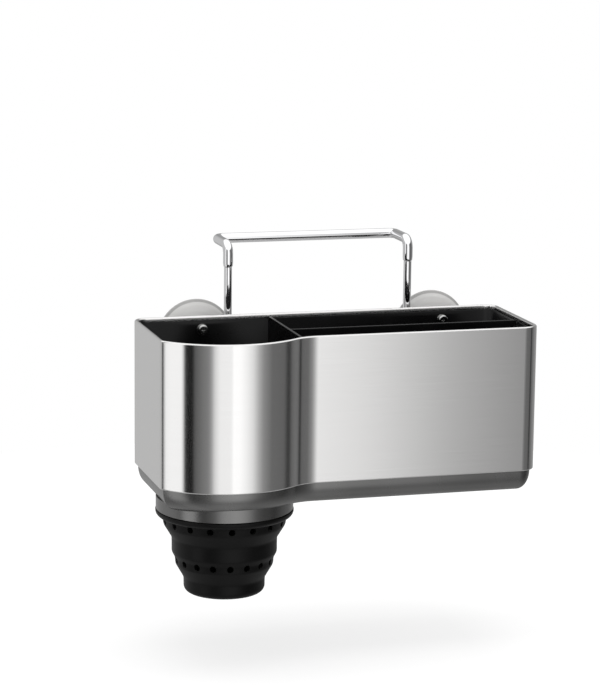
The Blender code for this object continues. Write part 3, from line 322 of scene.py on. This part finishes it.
def lathe(section, axis="Z", steps=LATHE_STEPS, finest=1.1 * MM):
    """A closed section of (radius, height, softness of the corner) spun round an axis.

    Softness is the reach of the bevel at a corner, and long edges are cut to the finest length.
    """
    bm = bmesh.new()
    corners = []
    for radius, height, softness in section:
        place = (radius, 0.0, height) if axis == "Z" else (radius, height, 0.0)
        corners.append((bm.verts.new(place), softness))
    bm.faces.new([corner for corner, _ in corners])
    for softness in sorted({soft for _, soft in corners if soft > 0}):
        alike = [corner for corner, soft in corners if soft == softness]
        bmesh.ops.bevel(bm, geom=alike, offset=softness, affect="VERTICES",
                        segments=4 if softness < LARGE_ROUND else 12, profile=0.5, material=-1)
    bmesh.ops.delete(bm, geom=bm.faces[:], context="FACES_ONLY")
    on_axis = [e for e in bm.edges if all(v.co.x < 0.01 * MM for v in e.verts)]
    bmesh.ops.delete(bm, geom=on_axis, context="EDGES")
    for cuts in range(1, 40):
        coarse = [e for e in bm.edges if (cuts + 1) * finest > e.calc_length() >= cuts * finest]
        bmesh.ops.subdivide_edges(bm, edges=coarse, cuts=cuts)
    way = (0.0, 0.0, 1.0) if axis == "Z" else (0.0, 1.0, 0.0)
    bmesh.ops.spin(bm, geom=bm.verts[:] + bm.edges[:], cent=(0.0, 0.0, 0.0), axis=way,
                   angle=2 * pi, steps=steps, use_merge=True)
    bmesh.ops.remove_doubles(bm, verts=bm.verts, dist=MERGE)
    bmesh.ops.recalc_face_normals(bm, faces=bm.faces)
    return bm


def post(bm, place, radius, low, high, sides=32):
    """Add an upright cylinder to a tool."""
    middle = Matrix.Translation((place[0] * MM, place[1] * MM, (low + high) / 2))
    bmesh.ops.create_cone(bm, cap_ends=True, segments=sides, radius1=radius, radius2=radius,
                          depth=high - low, matrix=middle)


def cut_away(piece, bm, operation="DIFFERENCE", place=BACK_LEFT_RIM, sharp=38.0):
    """Cut a piece with a tool's mesh, or join the tool to it, and keep the result as its mesh."""
    bmesh.ops.translate(bm, verts=bm.verts, vec=place)
    mesh = bpy.data.meshes.new("tool")
    bm.to_mesh(mesh)
    bm.free()
    tool = bpy.data.objects.new("tool", mesh)
    bpy.context.scene.collection.objects.link(tool)
    step = piece.modifiers.new("cut", "BOOLEAN")
    step.operation = operation
    step.solver = "MANIFOLD"
    step.object = tool
    bpy.context.view_layer.update()
    graph = bpy.context.evaluated_depsgraph_get()
    piece.data = bpy.data.meshes.new_from_object(piece.evaluated_get(graph))
    piece.modifiers.remove(step)
    bpy.data.objects.remove(tool, do_unlink=True)
    piece.data.shade_smooth()
    piece.data.set_sharp_from_angle(angle=radians(sharp))


def lacquered_grey():
    """Grey lacquer with metal flake over plastic: satin, with a faint moulded skin below it."""
    grey = new_material("lacquered_grey", Metallic=0.9, Specular_IOR_Level=0.5)
    skin = grain(grey, (1900.0, 1900.0, 1900.0), 2.0)
    clouds = grain(grey, (30.0, 30.0, 30.0), 3.0)
    tint(grey, clouds, (0.185, 0.184, 0.182), (0.205, 0.204, 0.202))
    drive(grey, clouds, "Roughness", 0.25, 0.29)
    roughen(grey, skin, 0.02 * MM, 0.2)
    return grey


LACQUER = lacquered_grey()
rim = [(LINER_INSET, RIM_TOP), (LINER_INSET, RIM_LOW), (BASE_INSET, RIM_LOW)]
solid = tub(rim + round_under(0.0))
tray = piece_from(solid, "base_tray", LACQUER, "caddy", ["base"])
cavity_mouth = (BASE_INSET + BASE_WALL, RIM_TOP + 1.0 * MM)
cut_away(tray, tub([cavity_mouth] + round_under(BASE_WALL)))
added = lathe([(0.0, SKIRT_TOP, 0.0), (SKIRT_RADIUS, SKIRT_TOP, 0.0),
               (SKIRT_RADIUS, SKIRT_BOTTOM, 0.4 * MM), (0.0, SKIRT_BOTTOM, 0.0)], finest=3.0 * MM)
bmesh.ops.translate(added, verts=added.verts, vec=CUP_AXIS)
for place in BASE_SCREWS:
    post(added, place, BOSS_RADIUS, BOSS_LOW, BOSS_HIGH)
cut_away(tray, added, "UNION")
openings = bmesh.new()
post(openings, CUP_PLACE, SKIRT_HOLE, SKIRT_BOTTOM - PAST, SKIRT_TOP + PAST, LATHE_STEPS)
recesses = bmesh.new()
for place in BASE_SCREWS:
    post(openings, place, SHANK_HOLE, SHANK_LOW, SHANK_HIGH)
    post(recesses, place, HEAD_RECESS, RECESS_LOW, RECESS_TOP)
for x in SLOT_COLUMNS:
    for y in SLOT_ROWS:
        slot = Matrix.Translation(Vector((x, y, SLOT_LEVEL)) * MM)
        bmesh.ops.create_cube(openings, size=1.0, matrix=slot @ Matrix.Diagonal((*SLOT_SIZE, 1.0)))
cut_away(tray, openings)
cut_away(tray, recesses)
shade_flat_walls(tray)
welded("cup_ring", "snap_ring", LACQUER, "caddy")

# Folding cup. One black silicone moulding that grips the snap ring with its thick lip. Two thin
# cones fold, and it is made here as an upper and a lower half, each with one of these cones in it.
CUP_TURN, FIRST_HOLE, LIP_TOP, SEAM = -2.4, 5.0, -110.5, -133.0
HOLE_RADIUS, HOLE_COUNT, HOLE_FLARE = 1.9 * MM, 18, 1.35


def new_ring(bm, radius, place, sides=40):
    """A ring of edges that a tube starts from, lying level at a place."""
    made = bmesh.ops.create_circle(bm, cap_ends=False, segments=sides, radius=radius,
                                   matrix=Matrix.Translation(place))
    verts = set(made["verts"])
    return [e for e in bm.edges if all(v in verts for v in e.verts)]


def pull(bm, ring, move, swell=1.0):
    """Extrude a ring of edges along a move, and swell or shrink it there."""
    made = bmesh.ops.extrude_edge_only(bm, edges=ring)["geom"]
    verts = [g for g in made if isinstance(g, bmesh.types.BMVert)]
    bmesh.ops.translate(bm, verts=verts, vec=move)
    if swell != 1.0:
        middle = sum((v.co for v in verts), Vector()) / len(verts)
        bmesh.ops.scale(bm, verts=verts, vec=(swell, swell, swell),
                        space=Matrix.Translation(-middle))
    ends = set(verts)
    edges = [g for g in made if isinstance(g, bmesh.types.BMEdge)]
    return [e for e in edges if all(v in ends for v in e.verts)]


def drill_ring(piece, wall, height):
    """Cut a row of round holes through a band of the cup, with their mouths a little flared."""
    inside, straight, mouth, outside = 5.0 * MM, 4.7 * MM, 1.0 * MM, 3.0 * MM
    bm = bmesh.new()
    edge = new_ring(bm, HOLE_RADIUS, (0.0, 0.0, wall - inside), 28)
    edge = pull(bm, edge, (0.0, 0.0, straight))
    edge = pull(bm, edge, (0.0, 0.0, mouth), HOLE_FLARE)
    pull(bm, edge, (0.0, 0.0, outside))
    bmesh.ops.holes_fill(bm, edges=bm.edges, sides=0)
    bmesh.ops.recalc_face_normals(bm, faces=bm.faces)
    turned = Matrix.Rotation(radians(CUP_TURN + FIRST_HOLE), 4, "Z")
    lying = Matrix.Rotation(pi / 2, 4, "Y")
    bm.transform(Matrix.Translation(CUP_AXIS + Vector((0.0, 0.0, height))) @ turned @ lying)
    first = bm.verts[:] + bm.edges[:] + bm.faces[:]
    for i in range(1, HOLE_COUNT):
        copy = bmesh.ops.duplicate(bm, geom=first)["geom"]
        verts = [g for g in copy if isinstance(g, bmesh.types.BMVert)]
        bmesh.ops.rotate(bm, verts=verts, cent=CUP_AXIS,
                         matrix=Matrix.Rotation(2 * pi * i / HOLE_COUNT, 3, "Z"))
    cut_away(piece, bm)


def soft_silicone():
    """Black silicone: matt, with the trace of a fine moulded skin."""
    silicone = new_material("black_silicone", Specular_IOR_Level=0.15)
    skin = grain(silicone, (1500.0, 1500.0, 1500.0), 2.0)
    clouds = grain(silicone, (60.0, 60.0, 60.0), 3.0)
    tint(silicone, clouds, (0.0025, 0.0025, 0.0025), (0.004, 0.004, 0.004))
    drive(silicone, clouds, "Roughness", 0.38, 0.46)
    roughen(silicone, skin, 0.03 * MM, 0.25)
    return silicone


SILICONE = soft_silicone()
# Both sections are (radius, height, softness of the corner) in millimetres, down the outside first.
upper_section = [(42.6, LIP_TOP, 0.3), (42.6, -114.7, 3.4), (38.5, -114.7, 0.5),
                 (37.6, -120.0, 0.9), (32.6, -128.2, 0.9), (32.5, SEAM, 0.0), (31.1, SEAM, 0.0),
                 (31.2, -128.5, 0.6), (36.1, -120.3, 0.6), (35.7, -114.9, 0.5),
                 (37.7, -112.85, 0.3), (41.5, -112.85, 0.2), (41.5, -111.25, 0.2),
                 (40.1, -111.25, 0.2), (40.1, LIP_TOP, 0.1)]
lower_section = [(32.5, SEAM, 0.0), (32.5, -137.4, 0.8), (30.6, -141.1, 0.8), (30.2, -145.2, 0.8),
                 (25.2, -153.8, 0.9), (25.0, -163.1, 3.9), (0.0, -163.1, 0.0), (0.0, -161.7, 0.0),
                 (23.6, -161.7, 2.5), (23.9, -154.1, 0.6), (28.9, -145.5, 0.6), (29.2, -141.2, 0.6),
                 (31.1, -137.5, 0.6), (31.1, SEAM, 0.0)]


def cup_half(name, section, nodes, wall, holes_at):
    """One half of the cup with its row of holes and one of its thin folding cones."""
    bm = lathe([(r * MM, z * MM, soft * MM) for r, z, soft in section])
    axis = BACK_LEFT_RIM + CUP_AXIS
    half = piece_from(bm, name, SILICONE, None, nodes, 38.0, axis)
    drill_ring(half, wall * MM, holes_at * MM)
    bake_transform(half)


cup_half("cup_upper_half", upper_section,
         ["cup_lip", "cup_upper_fold"], 38.1, -117.1)
cup_half("cup_lower_half", lower_section,
         ["cup_middle_ring", "cup_lower_fold", "cup_bottom"], 30.5, -142.3)

# Hook. A chromed steel tube bent four times: its bar lies on the sink's edge, two arms reach
# forwards, and two short legs are crimped on the ends of the wire.
WIRE_AXIS = Vector((0.0, -29.5, -39.357)) * MM
HALF_SPAN, HOOK_RISE, ARM_REACH = 59.6 * MM, 42.4 * MM, 29.5 * MM
TUBE_RADIUS, TUBE_LEG, ELBOW, BAR_BEND = 3.15 * MM, 13.6 * MM, 6.0 * MM, 4.2 * MM
MOUTH_RADIUS, MOUTH_DEPTH, MOUTH_FLARE = 2.15 * MM, 1.5 * MM, 1.12
LIP_INNER, LIP_OUTER, CRIMP_RADIUS = 2.41 * MM, 2.75 * MM, 2.92 * MM
LIP_DROP, LIP_RISE, CRIMP_RISE = 0.02 * MM, 0.25 * MM, 2.0 * MM


def bend_ring(bm, ring, centre, axis, angle, steps=14):
    """Spin a ring of edges round a bend of the tube."""
    verts = list({v for e in ring for v in e.verts})
    made = bmesh.ops.spin(bm, geom=verts + ring, cent=centre, axis=axis, angle=angle, steps=steps)
    return [g for g in made["geom_last"] if isinstance(g, bmesh.types.BMEdge)]


def mirror_tube(bm):
    """Mirror a half tube that ends on the middle plane, and close its two ends."""
    bmesh.ops.mirror(bm, geom=bm.verts[:] + bm.edges[:] + bm.faces[:], axis="X",
                     merge_dist=0.01 * MM)
    bmesh.ops.holes_fill(bm, edges=bm.edges, sides=0)
    bmesh.ops.recalc_face_normals(bm, faces=bm.faces)


def bright_chrome():
    """Chrome plate: a near mirror with a trace of polishing haze."""
    chrome = new_material("bright_chrome", Metallic=1.0, Roughness=0.06)
    haze = grain(chrome, (70.0, 70.0, 70.0), 2.0)
    tint(chrome, haze, (0.83, 0.83, 0.84), (0.86, 0.86, 0.87))
    drive(chrome, haze, "Roughness", 0.05, 0.075)
    return chrome


CHROME = bright_chrome()
tube = bmesh.new()
leg_end = HOOK_RISE - TUBE_LEG
# From inside the mouth the wall turns round its thin rim and widens over the crimp.
edge = new_ring(tube, MOUTH_RADIUS, (-HALF_SPAN, 0.0, leg_end + MOUTH_DEPTH))
edge = pull(tube, edge, (0.0, 0.0, -MOUTH_DEPTH), MOUTH_FLARE)
edge = pull(tube, edge, (0.0, 0.0, -LIP_DROP), LIP_OUTER / LIP_INNER)
edge = pull(tube, edge, (0.0, 0.0, LIP_RISE), CRIMP_RADIUS / LIP_OUTER)
edge = pull(tube, edge, (0.0, 0.0, CRIMP_RISE), TUBE_RADIUS / CRIMP_RADIUS)
edge = pull(tube, edge, (0.0, 0.0, TUBE_LEG - ELBOW - (CRIMP_RISE + LIP_RISE - LIP_DROP)))
edge = bend_ring(tube, edge, (-HALF_SPAN, ELBOW, HOOK_RISE - ELBOW), (1, 0, 0), -pi / 2)
edge = pull(tube, edge, (0.0, ARM_REACH - ELBOW - BAR_BEND, 0.0))
bar_corner = (-HALF_SPAN + BAR_BEND, ARM_REACH - BAR_BEND, HOOK_RISE)
edge = bend_ring(tube, edge, bar_corner, (0, 0, 1), -pi / 2)
pull(tube, edge, (HALF_SPAN - BAR_BEND, 0.0, 0.0))
mirror_tube(tube)
hook = piece_from(tube, "hook_bar", CHROME, "hook", ["hook_tube"], 25.0, WIRE_AXIS)
shade_flat_walls(hook)

# Wire. A chromed steel rod bent like a U whose thinner ends are pressed into the tube. The caddy's
# brackets grip its legs and slide along them.
WIRE_RADIUS, SHOULDER_RADIUS, SPIGOT_RADIUS = 2.5 * MM, 2.3 * MM, 2.0 * MM
SPIGOT_HIDDEN, SPIGOT_BARE, SHOULDER_DROP, SHOULDER_SLOPE = 6.0 * MM, 0.2 * MM, 0.1 * MM, 0.25 * MM
WIRE_FOOT, WIRE_BEND = 74.0 * MM, 8.0 * MM
wire = bmesh.new()
edge = new_ring(wire, SPIGOT_RADIUS, (-HALF_SPAN, 0.0, leg_end + SPIGOT_HIDDEN))
edge = pull(wire, edge, (0.0, 0.0, -SPIGOT_HIDDEN - SPIGOT_BARE))
edge = pull(wire, edge, (0.0, 0.0, -SHOULDER_DROP), SHOULDER_RADIUS / SPIGOT_RADIUS)
edge = pull(wire, edge, (0.0, 0.0, -SHOULDER_SLOPE), WIRE_RADIUS / SHOULDER_RADIUS)
shoulder_foot = leg_end - SPIGOT_BARE - SHOULDER_DROP - SHOULDER_SLOPE
edge = pull(wire, edge, (0.0, 0.0, WIRE_BEND - WIRE_FOOT - shoulder_foot))
wire_corner = (-HALF_SPAN + WIRE_BEND, 0.0, WIRE_BEND - WIRE_FOOT)
edge = bend_ring(wire, edge, wire_corner, (0, 1, 0), -pi / 2)
pull(wire, edge, (HALF_SPAN - WIRE_BEND, 0.0, 0.0))
mirror_tube(wire)
wire_piece = piece_from(wire, "sliding_wire", CHROME, "hook", ["hook_wire"], 25.0,
                        WIRE_AXIS)
shade_flat_walls(wire_piece)

# Brackets. Two moulded blocks behind the back wall, each with a bore for a leg of the wire, lined
# by a soft bush, and a side slot for the button of its suction cup.


def moulded_grey():
    """Dark grey plastic with a satin moulded grain."""
    grey = new_material("moulded_grey", Specular_IOR_Level=0.5)
    skin = grain(grey, (1900.0, 1900.0, 1900.0), 2.0)
    clouds = grain(grey, (30.0, 30.0, 30.0), 3.0)
    tint(grey, clouds, (0.070, 0.069, 0.068), (0.086, 0.085, 0.084))
    drive(grey, clouds, "Roughness", 0.30, 0.40)
    roughen(grey, skin, 0.03 * MM, 0.3)
    return grey


def soft_rubber():
    """Black rubber of the bushes, dull with a fine grain."""
    rubber = new_material("bush_rubber")
    skin = grain(rubber, (1800.0, 1800.0, 1800.0), 3.0)
    tint(rubber, skin, (0.012, 0.012, 0.012), (0.02, 0.02, 0.02))
    drive(rubber, skin, "Roughness", 0.55, 0.7)
    roughen(rubber, skin, 0.03 * MM, 0.4)
    return rubber


GREY, RUBBER = moulded_grey(), soft_rubber()
for side in ("left", "right"):
    welded("bracket_" + side, "bracket_block_" + side, GREY, "caddy")
    welded("grip_bush_" + side, "wire_bush_" + side, RUBBER, "caddy")

# Suction cups. Milky vinyl discs that stick to the sink's wall: a thin edge round a hollow, a domed
# back, and a button on a neck that slides into the bracket's slot.
SUCTION_X, SUCTION_Z, SUCTION_SPAN = HALF_SPAN + 18.8 * MM, -17.4 * MM, 25.0 * MM


def milky_vinyl():
    """Clear soft vinyl gone milky: light passes into it, and a ring of painted shade darkens its
    edge.
    """
    vinyl = new_material("milky_vinyl", Specular_IOR_Level=0.4, Subsurface_Weight=0.3,
                         Subsurface_Radius=(1.0, 1.0, 1.0), Subsurface_Scale=0.003)
    clouds = grain(vinyl, (90.0, 90.0, 90.0), 3.0)
    drive(vinyl, clouds, "Roughness", 0.18, 0.3)
    nodes, links = vinyl.node_tree.nodes, vinyl.node_tree.links
    coordinates = nodes.new("ShaderNodeTexCoord")
    parts = nodes.new("ShaderNodeSeparateXYZ")
    half = nodes.new("ShaderNodeMath")
    half.operation = "ABSOLUTE"
    disc = nodes.new("ShaderNodeCombineXYZ")
    from_axis = nodes.new("ShaderNodeVectorMath")
    from_axis.operation = "DISTANCE"
    from_axis.inputs[1].default_value = (SUCTION_X, 0.0, BACK_LEFT_RIM.z + SUCTION_Z)
    links.new(coordinates.outputs["Object"], parts.inputs["Vector"])
    links.new(parts.outputs["X"], half.inputs[0])
    links.new(half.outputs["Value"], disc.inputs["X"])
    links.new(parts.outputs["Z"], disc.inputs["Z"])
    links.new(disc.outputs["Vector"], from_axis.inputs[0])
    radius = spread(vinyl, from_axis.outputs["Value"], 0.0, SUCTION_SPAN)
    # Base colour by distance from the axis: a dark ring of painted shade where the disc flares near
    # its edge, and a paler band at the rim.
    flare_shade_rings = [(0.0, 0.62), (0.905, 0.68), (0.92, 0.42), (0.965, 0.40), (0.985, 0.52)]
    warm_flare_shade = [(place, (tone, tone * 0.99, tone * 0.975)) for place, tone in flare_shade_rings]
    feed(vinyl, colours(vinyl, radius, warm_flare_shade), "Base Color")
    return vinyl


VINYL = milky_vinyl()
# The section is (radius, distance behind the back face, softness of the corner) in millimetres.
hollow = [(0.0, 16.4, 0.0), (6.0, 16.7, 0.4), (12.0, 17.7, 0.4), (17.0, 18.8, 0.4),
          (21.0, 19.8, 0.4), (22.6, 20.0, 0.3)]
edge_and_dome = [(24.5, 20.0, 0.3), (24.5, 18.9, 0.3), (23.2, 18.0, 0.3), (21.0, 16.4, 0.4),
                 (17.5, 14.7, 0.4), (14.0, 13.4, 0.4), (10.5, 12.6, 0.4), (7.0, 12.3, 0.5)]
button = [(7.0, 7.3, 0.3), (2.5, 7.3, 0.2), (2.5, 4.2, 0.2), (4.1, 4.2, 0.3), (4.1, 2.0, 0.4),
          (0.0, 2.0, 0.0)]
disc_section = [(r * MM, y * MM, soft * MM) for r, y, soft in hollow + edge_and_dome + button]
for side, x in (("left", -SUCTION_X), ("right", SUCTION_X)):
    disc = lathe(disc_section, "Y", 96, 2.0 * MM)
    seat = Vector((x, BACK_LEFT_RIM.y, BACK_LEFT_RIM.z + SUCTION_Z))
    piece_from(disc, "suction_disc_" + side, VINYL, "caddy", ["suction_cup_" + side],
               40.0, seat)

# Screws. Plated steel pan heads on washers clamp liner, band and bracket together, and five
# smaller ones hold the base. Each head has a cross recess.


def plated_steel():
    """Zinc plate, clouded a little as plating is."""
    zinc = new_material("plated_steel", Metallic=1.0, Roughness=0.14)
    marks = grain(zinc, (900.0, 900.0, 900.0), 3.0)
    tint(zinc, marks, (0.46, 0.46, 0.455), (0.54, 0.54, 0.535))
    drive(zinc, marks, "Roughness", 0.11, 0.18)
    return zinc


ZINC = plated_steel()
CROSS_SPAN, CROSS_DEPTH = 1.1, 0.55     # shares of the head's radius and height


def pan_head(head, height, shank, length):
    """A pan head screw that points down: a flat crown, a steep edge and a plain shank."""
    section = [(0.0, height, 0.0), (head * 0.84, height, head * 0.1),
               (head, height * 0.5, head * 0.12), (head, 0.0, 0.1 * MM), (shank, 0.0, 0.0),
               (shank, -length, 0.2 * MM), (0.0, -length, 0.0)]
    return lathe(section, "Z", 40, 3.0 * MM)


def recess_blade(turn, width, height, depth):
    """The tool for one bar of a cross recess, tapered towards its foot."""
    slim, taper = 0.24, 0.55
    bm = bmesh.new()
    blade = Matrix.Translation((0.0, 0.0, height)) @ Matrix.Rotation(turn, 4, "Z")
    size = Matrix.Diagonal((width, width * slim, depth * 2, 1.0))
    bmesh.ops.create_cube(bm, size=1.0, matrix=blade @ size)
    bmesh.ops.scale(bm, verts=[v for v in bm.verts if v.co.z < height], vec=(taper, taper, 1.0))
    return bm


def screw_piece(number, node, head, height, shank, length, turn):
    """One screw in the place of its CAD node, its head seated where the node's head ends."""
    low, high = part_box(node)
    seat = (low + high) / 2
    if turn == "front":
        seat.y = low.y + height
        face = Matrix.Rotation(pi / 2, 4, "X")
    else:
        seat.z = low.z + height
        face = Matrix.Rotation(pi, 4, "X")
    bm = pan_head(head, height, shank, length)
    bm.transform(face)
    screw = piece_from(bm, "pan_screw_" + number, ZINC, "caddy", [node], 35.0, seat)
    for bar in (0.0, pi / 2):
        blade = recess_blade(bar, head * CROSS_SPAN, height, height * CROSS_DEPTH)
        blade.transform(face)
        cut_away(screw, blade, place=seat)


# Each screw is (head's radius, head's height, shank's radius, shank's length).
BACK_SCREW = (3.35 * MM, 2.3 * MM, 1.7 * MM, 9.5 * MM)
BASE_SCREW = (3.2 * MM, 1.6 * MM, 1.3 * MM, 12.0 * MM)
for i in range(1, 5):
    screw_piece(f"back_{i}", f"bracket_screw_{i}", *BACK_SCREW, "front")
    welded(f"bracket_washer_{i}", f"washer_{i}", ZINC, "caddy")
for i in range(1, 6):
    screw_piece(f"base_{i}", f"base_screw_{i}", *BASE_SCREW, "below")

# Floor, light and camera. A pale floor under the hanging caddy, a tall light tent whose panels
# give the steel its bright and dark bands, and one soft lamp overhead for the shadow.
FLOOR_Z, FLOOR_RADIUS, FLOOR_TONE, FLOOR_GLOW = BACK_LEFT_RIM.z - 205.0 * MM, 0.55, 0.5, 0.6
STAGE_CENTRE_Y = -0.06


def stage_piece(name, bm, height):
    """An object of the stage from a mesh, set round the caddy's middle at a height."""
    bmesh.ops.translate(bm, verts=bm.verts, vec=(0.0, STAGE_CENTRE_Y, height))
    piece = bpy.data.objects.new(name, bpy.data.meshes.new(name))
    bm.to_mesh(piece.data)
    bm.free()
    bpy.context.scene.collection.objects.link(piece)
    return piece


def stage_material(name):
    """An empty node tree with its output, for the floor or the tent."""
    material = bpy.data.materials.new(name)
    material.use_nodes = True
    nodes = material.node_tree.nodes
    nodes.clear()
    return material, nodes, material.node_tree.links, nodes.new("ShaderNodeOutputMaterial")


floor_mesh = bmesh.new()
bmesh.ops.create_circle(floor_mesh, cap_ends=True, segments=96, radius=FLOOR_RADIUS)
floor = stage_piece("floor", floor_mesh, FLOOR_Z)
pale, nodes, links, output = stage_material("pale_floor")
matt = nodes.new("ShaderNodeBsdfDiffuse")
matt.inputs["Color"].default_value = (FLOOR_TONE, FLOOR_TONE, FLOOR_TONE, 1.0)
glow = nodes.new("ShaderNodeEmission")
path = nodes.new("ShaderNodeLightPath")
share = nodes.new("ShaderNodeMath")
share.operation = "MULTIPLY"
share.inputs[1].default_value = FLOOR_GLOW
both = nodes.new("ShaderNodeAddShader")
links.new(path.outputs["Is Camera Ray"], share.inputs[0])
links.new(share.outputs["Value"], glow.inputs["Strength"])
links.new(matt.outputs["BSDF"], both.inputs[0])
links.new(glow.outputs["Emission"], both.inputs[1])
links.new(both.outputs["Shader"], output.inputs["Surface"])
floor.data.materials.append(pale)
floor.visible_glossy = False

# Each panel of the tent is (degrees from the front, positive to the right, and its brightness).
# High above the caddy they give way to an even light, and far below it to a dim ground.
TENT_RADIUS, TENT_LOW, TENT_HIGH, BRIGHTEST = 0.62, -0.95, 0.75, 1.4
PANELS = [(-180, 0.32), (-164, 0.57), (-93, 0.60), (-89, 0.10), (-84.5, 0.10), (-82.5, 1.2),
          (-62.5, 1.2), (-59, 0.01), (-56.2, 0.01), (-55.6, 0.08), (-55.0, 0.01), (-51.0, 0.01),
          (-48.5, 0.12), (-34, 0.27), (-30.5, 0.45), (-27.5, 0.85), (-22, 1.13), (-9, 1.16),
          (-7, 1.38), (1, 1.36), (9, 1.17), (16, 0.96), (23, 0.57), (30, 0.32), (42, 0.17),
          (62, 0.15), (68, 0.05), (72, 0.05), (76, 0.15), (100, 0.3), (150, 0.44), (180, 0.32)]
OVERHEAD, OVERHEAD_FROM, OVERHEAD_FULL = 0.92, 0.30, 0.45
GROUND = ((0.0, 0.40), (0.5, 0.16), (1.0, 1.0))
GROUND_FROM, GROUND_FULL, GROUND_SHARE = -0.42, -0.60, 0.8


def grey_stops(pairs):
    """Stops of (place, grey level) as colours."""
    return [(place, (level, level, level)) for place, level in pairs]


def cover(nodes, links, factor, first):
    """A mix node that covers a colour, as far as a factor says, with the one at its socket B."""
    mix = nodes.new("ShaderNodeMix")
    mix.data_type = "RGBA"
    links.new(factor, mix.inputs["Factor"])
    links.new(first, mix.inputs["A"])
    return mix


tent_mesh = bmesh.new()
bmesh.ops.create_cone(tent_mesh, cap_ends=True, segments=128, radius1=TENT_RADIUS,
                      radius2=TENT_RADIUS, depth=TENT_HIGH - TENT_LOW)
tent = stage_piece("light_tent", tent_mesh, (TENT_HIGH + TENT_LOW) / 2)
cloth, nodes, links, output = stage_material("tent_panels")
coordinates = nodes.new("ShaderNodeTexCoord")
centre = nodes.new("ShaderNodeMapping")
centre.inputs["Location"].default_value = (0.0, -STAGE_CENTRE_Y, 0.0)
parts = nodes.new("ShaderNodeSeparateXYZ")
front = nodes.new("ShaderNodeMath")
front.operation = "MULTIPLY"
front.inputs[1].default_value = -1.0
angle = nodes.new("ShaderNodeMath")
angle.operation = "ARCTAN2"
links.new(coordinates.outputs["Object"], centre.inputs["Vector"])
links.new(centre.outputs["Vector"], parts.inputs["Vector"])
links.new(parts.outputs["Y"], front.inputs[0])
links.new(parts.outputs["X"], angle.inputs[0])
links.new(front.outputs["Value"], angle.inputs[1])
height = parts.outputs["Z"]
turn = spread(cloth, angle.outputs["Value"], -pi, pi)
round_stops = [((place + 180.0) / 360.0, level / BRIGHTEST) for place, level in PANELS]
panels = colours(cloth, turn, grey_stops(round_stops))
ground = colours(cloth, spread(cloth, height, TENT_LOW, 0.0), grey_stops(GROUND))
sunk = spread(cloth, height, GROUND_FROM, GROUND_FULL, 0.0, GROUND_SHARE)
below = cover(nodes, links, sunk, panels)
links.new(ground, below.inputs["B"])
risen = spread(cloth, height, OVERHEAD_FROM, OVERHEAD_FULL)
above = cover(nodes, links, risen, below.outputs["Result"])
above.inputs["B"].default_value = (OVERHEAD, OVERHEAD, OVERHEAD, 1.0)
shine = nodes.new("ShaderNodeEmission")
shine.inputs["Strength"].default_value = BRIGHTEST
links.new(above.outputs["Result"], shine.inputs["Color"])
links.new(shine.outputs["Emission"], output.inputs["Surface"])
tent.data.materials.append(cloth)
tent.visible_camera = False
tent.visible_diffuse = False
tent.visible_shadow = False
tent.visible_transmission = False

world = bpy.data.worlds.new("studio")
world.use_nodes = True
bpy.context.scene.world = world
nodes, links = world.node_tree.nodes, world.node_tree.links
sky = nodes["Background"]
sky.inputs["Color"].default_value = (1.0, 1.0, 1.0, 1.0)
path = nodes.new("ShaderNodeLightPath")
seen = nodes.new("ShaderNodeMath")
seen.operation = "MAXIMUM"
links.new(path.outputs["Is Camera Ray"], seen.inputs[0])
links.new(path.outputs["Is Glossy Ray"], seen.inputs[1])
links.new(spread(world, seen.outputs["Value"], 0.0, 1.0, 0.75, 1.0), sky.inputs["Strength"])

lamp_data = bpy.data.lights.new("overhead_softbox", "AREA")
lamp_data.shape = "RECTANGLE"
lamp_data.size = 0.9
lamp_data.size_y = 0.6
lamp_data.energy = 5.0
lamp = bpy.data.objects.new("overhead_softbox", lamp_data)
lamp.location = (0.0, -0.1, 0.95)
lamp.visible_glossy = False
bpy.context.scene.collection.objects.link(lamp)

AIM = Vector((-14.678, -39.5, -63.047)) * MM
AZIMUTH, ELEVATION, ROLL = radians(-16.155), radians(10.832), radians(0.627)
DISTANCE = 1639.336 * MM
back = Vector((sin(AZIMUTH) * cos(ELEVATION), -cos(AZIMUTH) * cos(ELEVATION), sin(ELEVATION)))
camera = bpy.data.objects.new("camera", bpy.data.cameras.new("camera"))
camera.data.sensor_width = 36.0
camera.data.lens = 133.44
camera.data.clip_start = 0.05
camera.location = AIM + back * DISTANCE
camera.rotation_mode = "QUATERNION"
camera.rotation_quaternion = back.to_track_quat("Z", "Y") @ Quaternion((0.0, 0.0, 1.0), ROLL)
bpy.context.scene.collection.objects.link(camera)
bpy.context.scene.camera = camera
bpy.context.scene.view_settings.view_transform = "Standard"
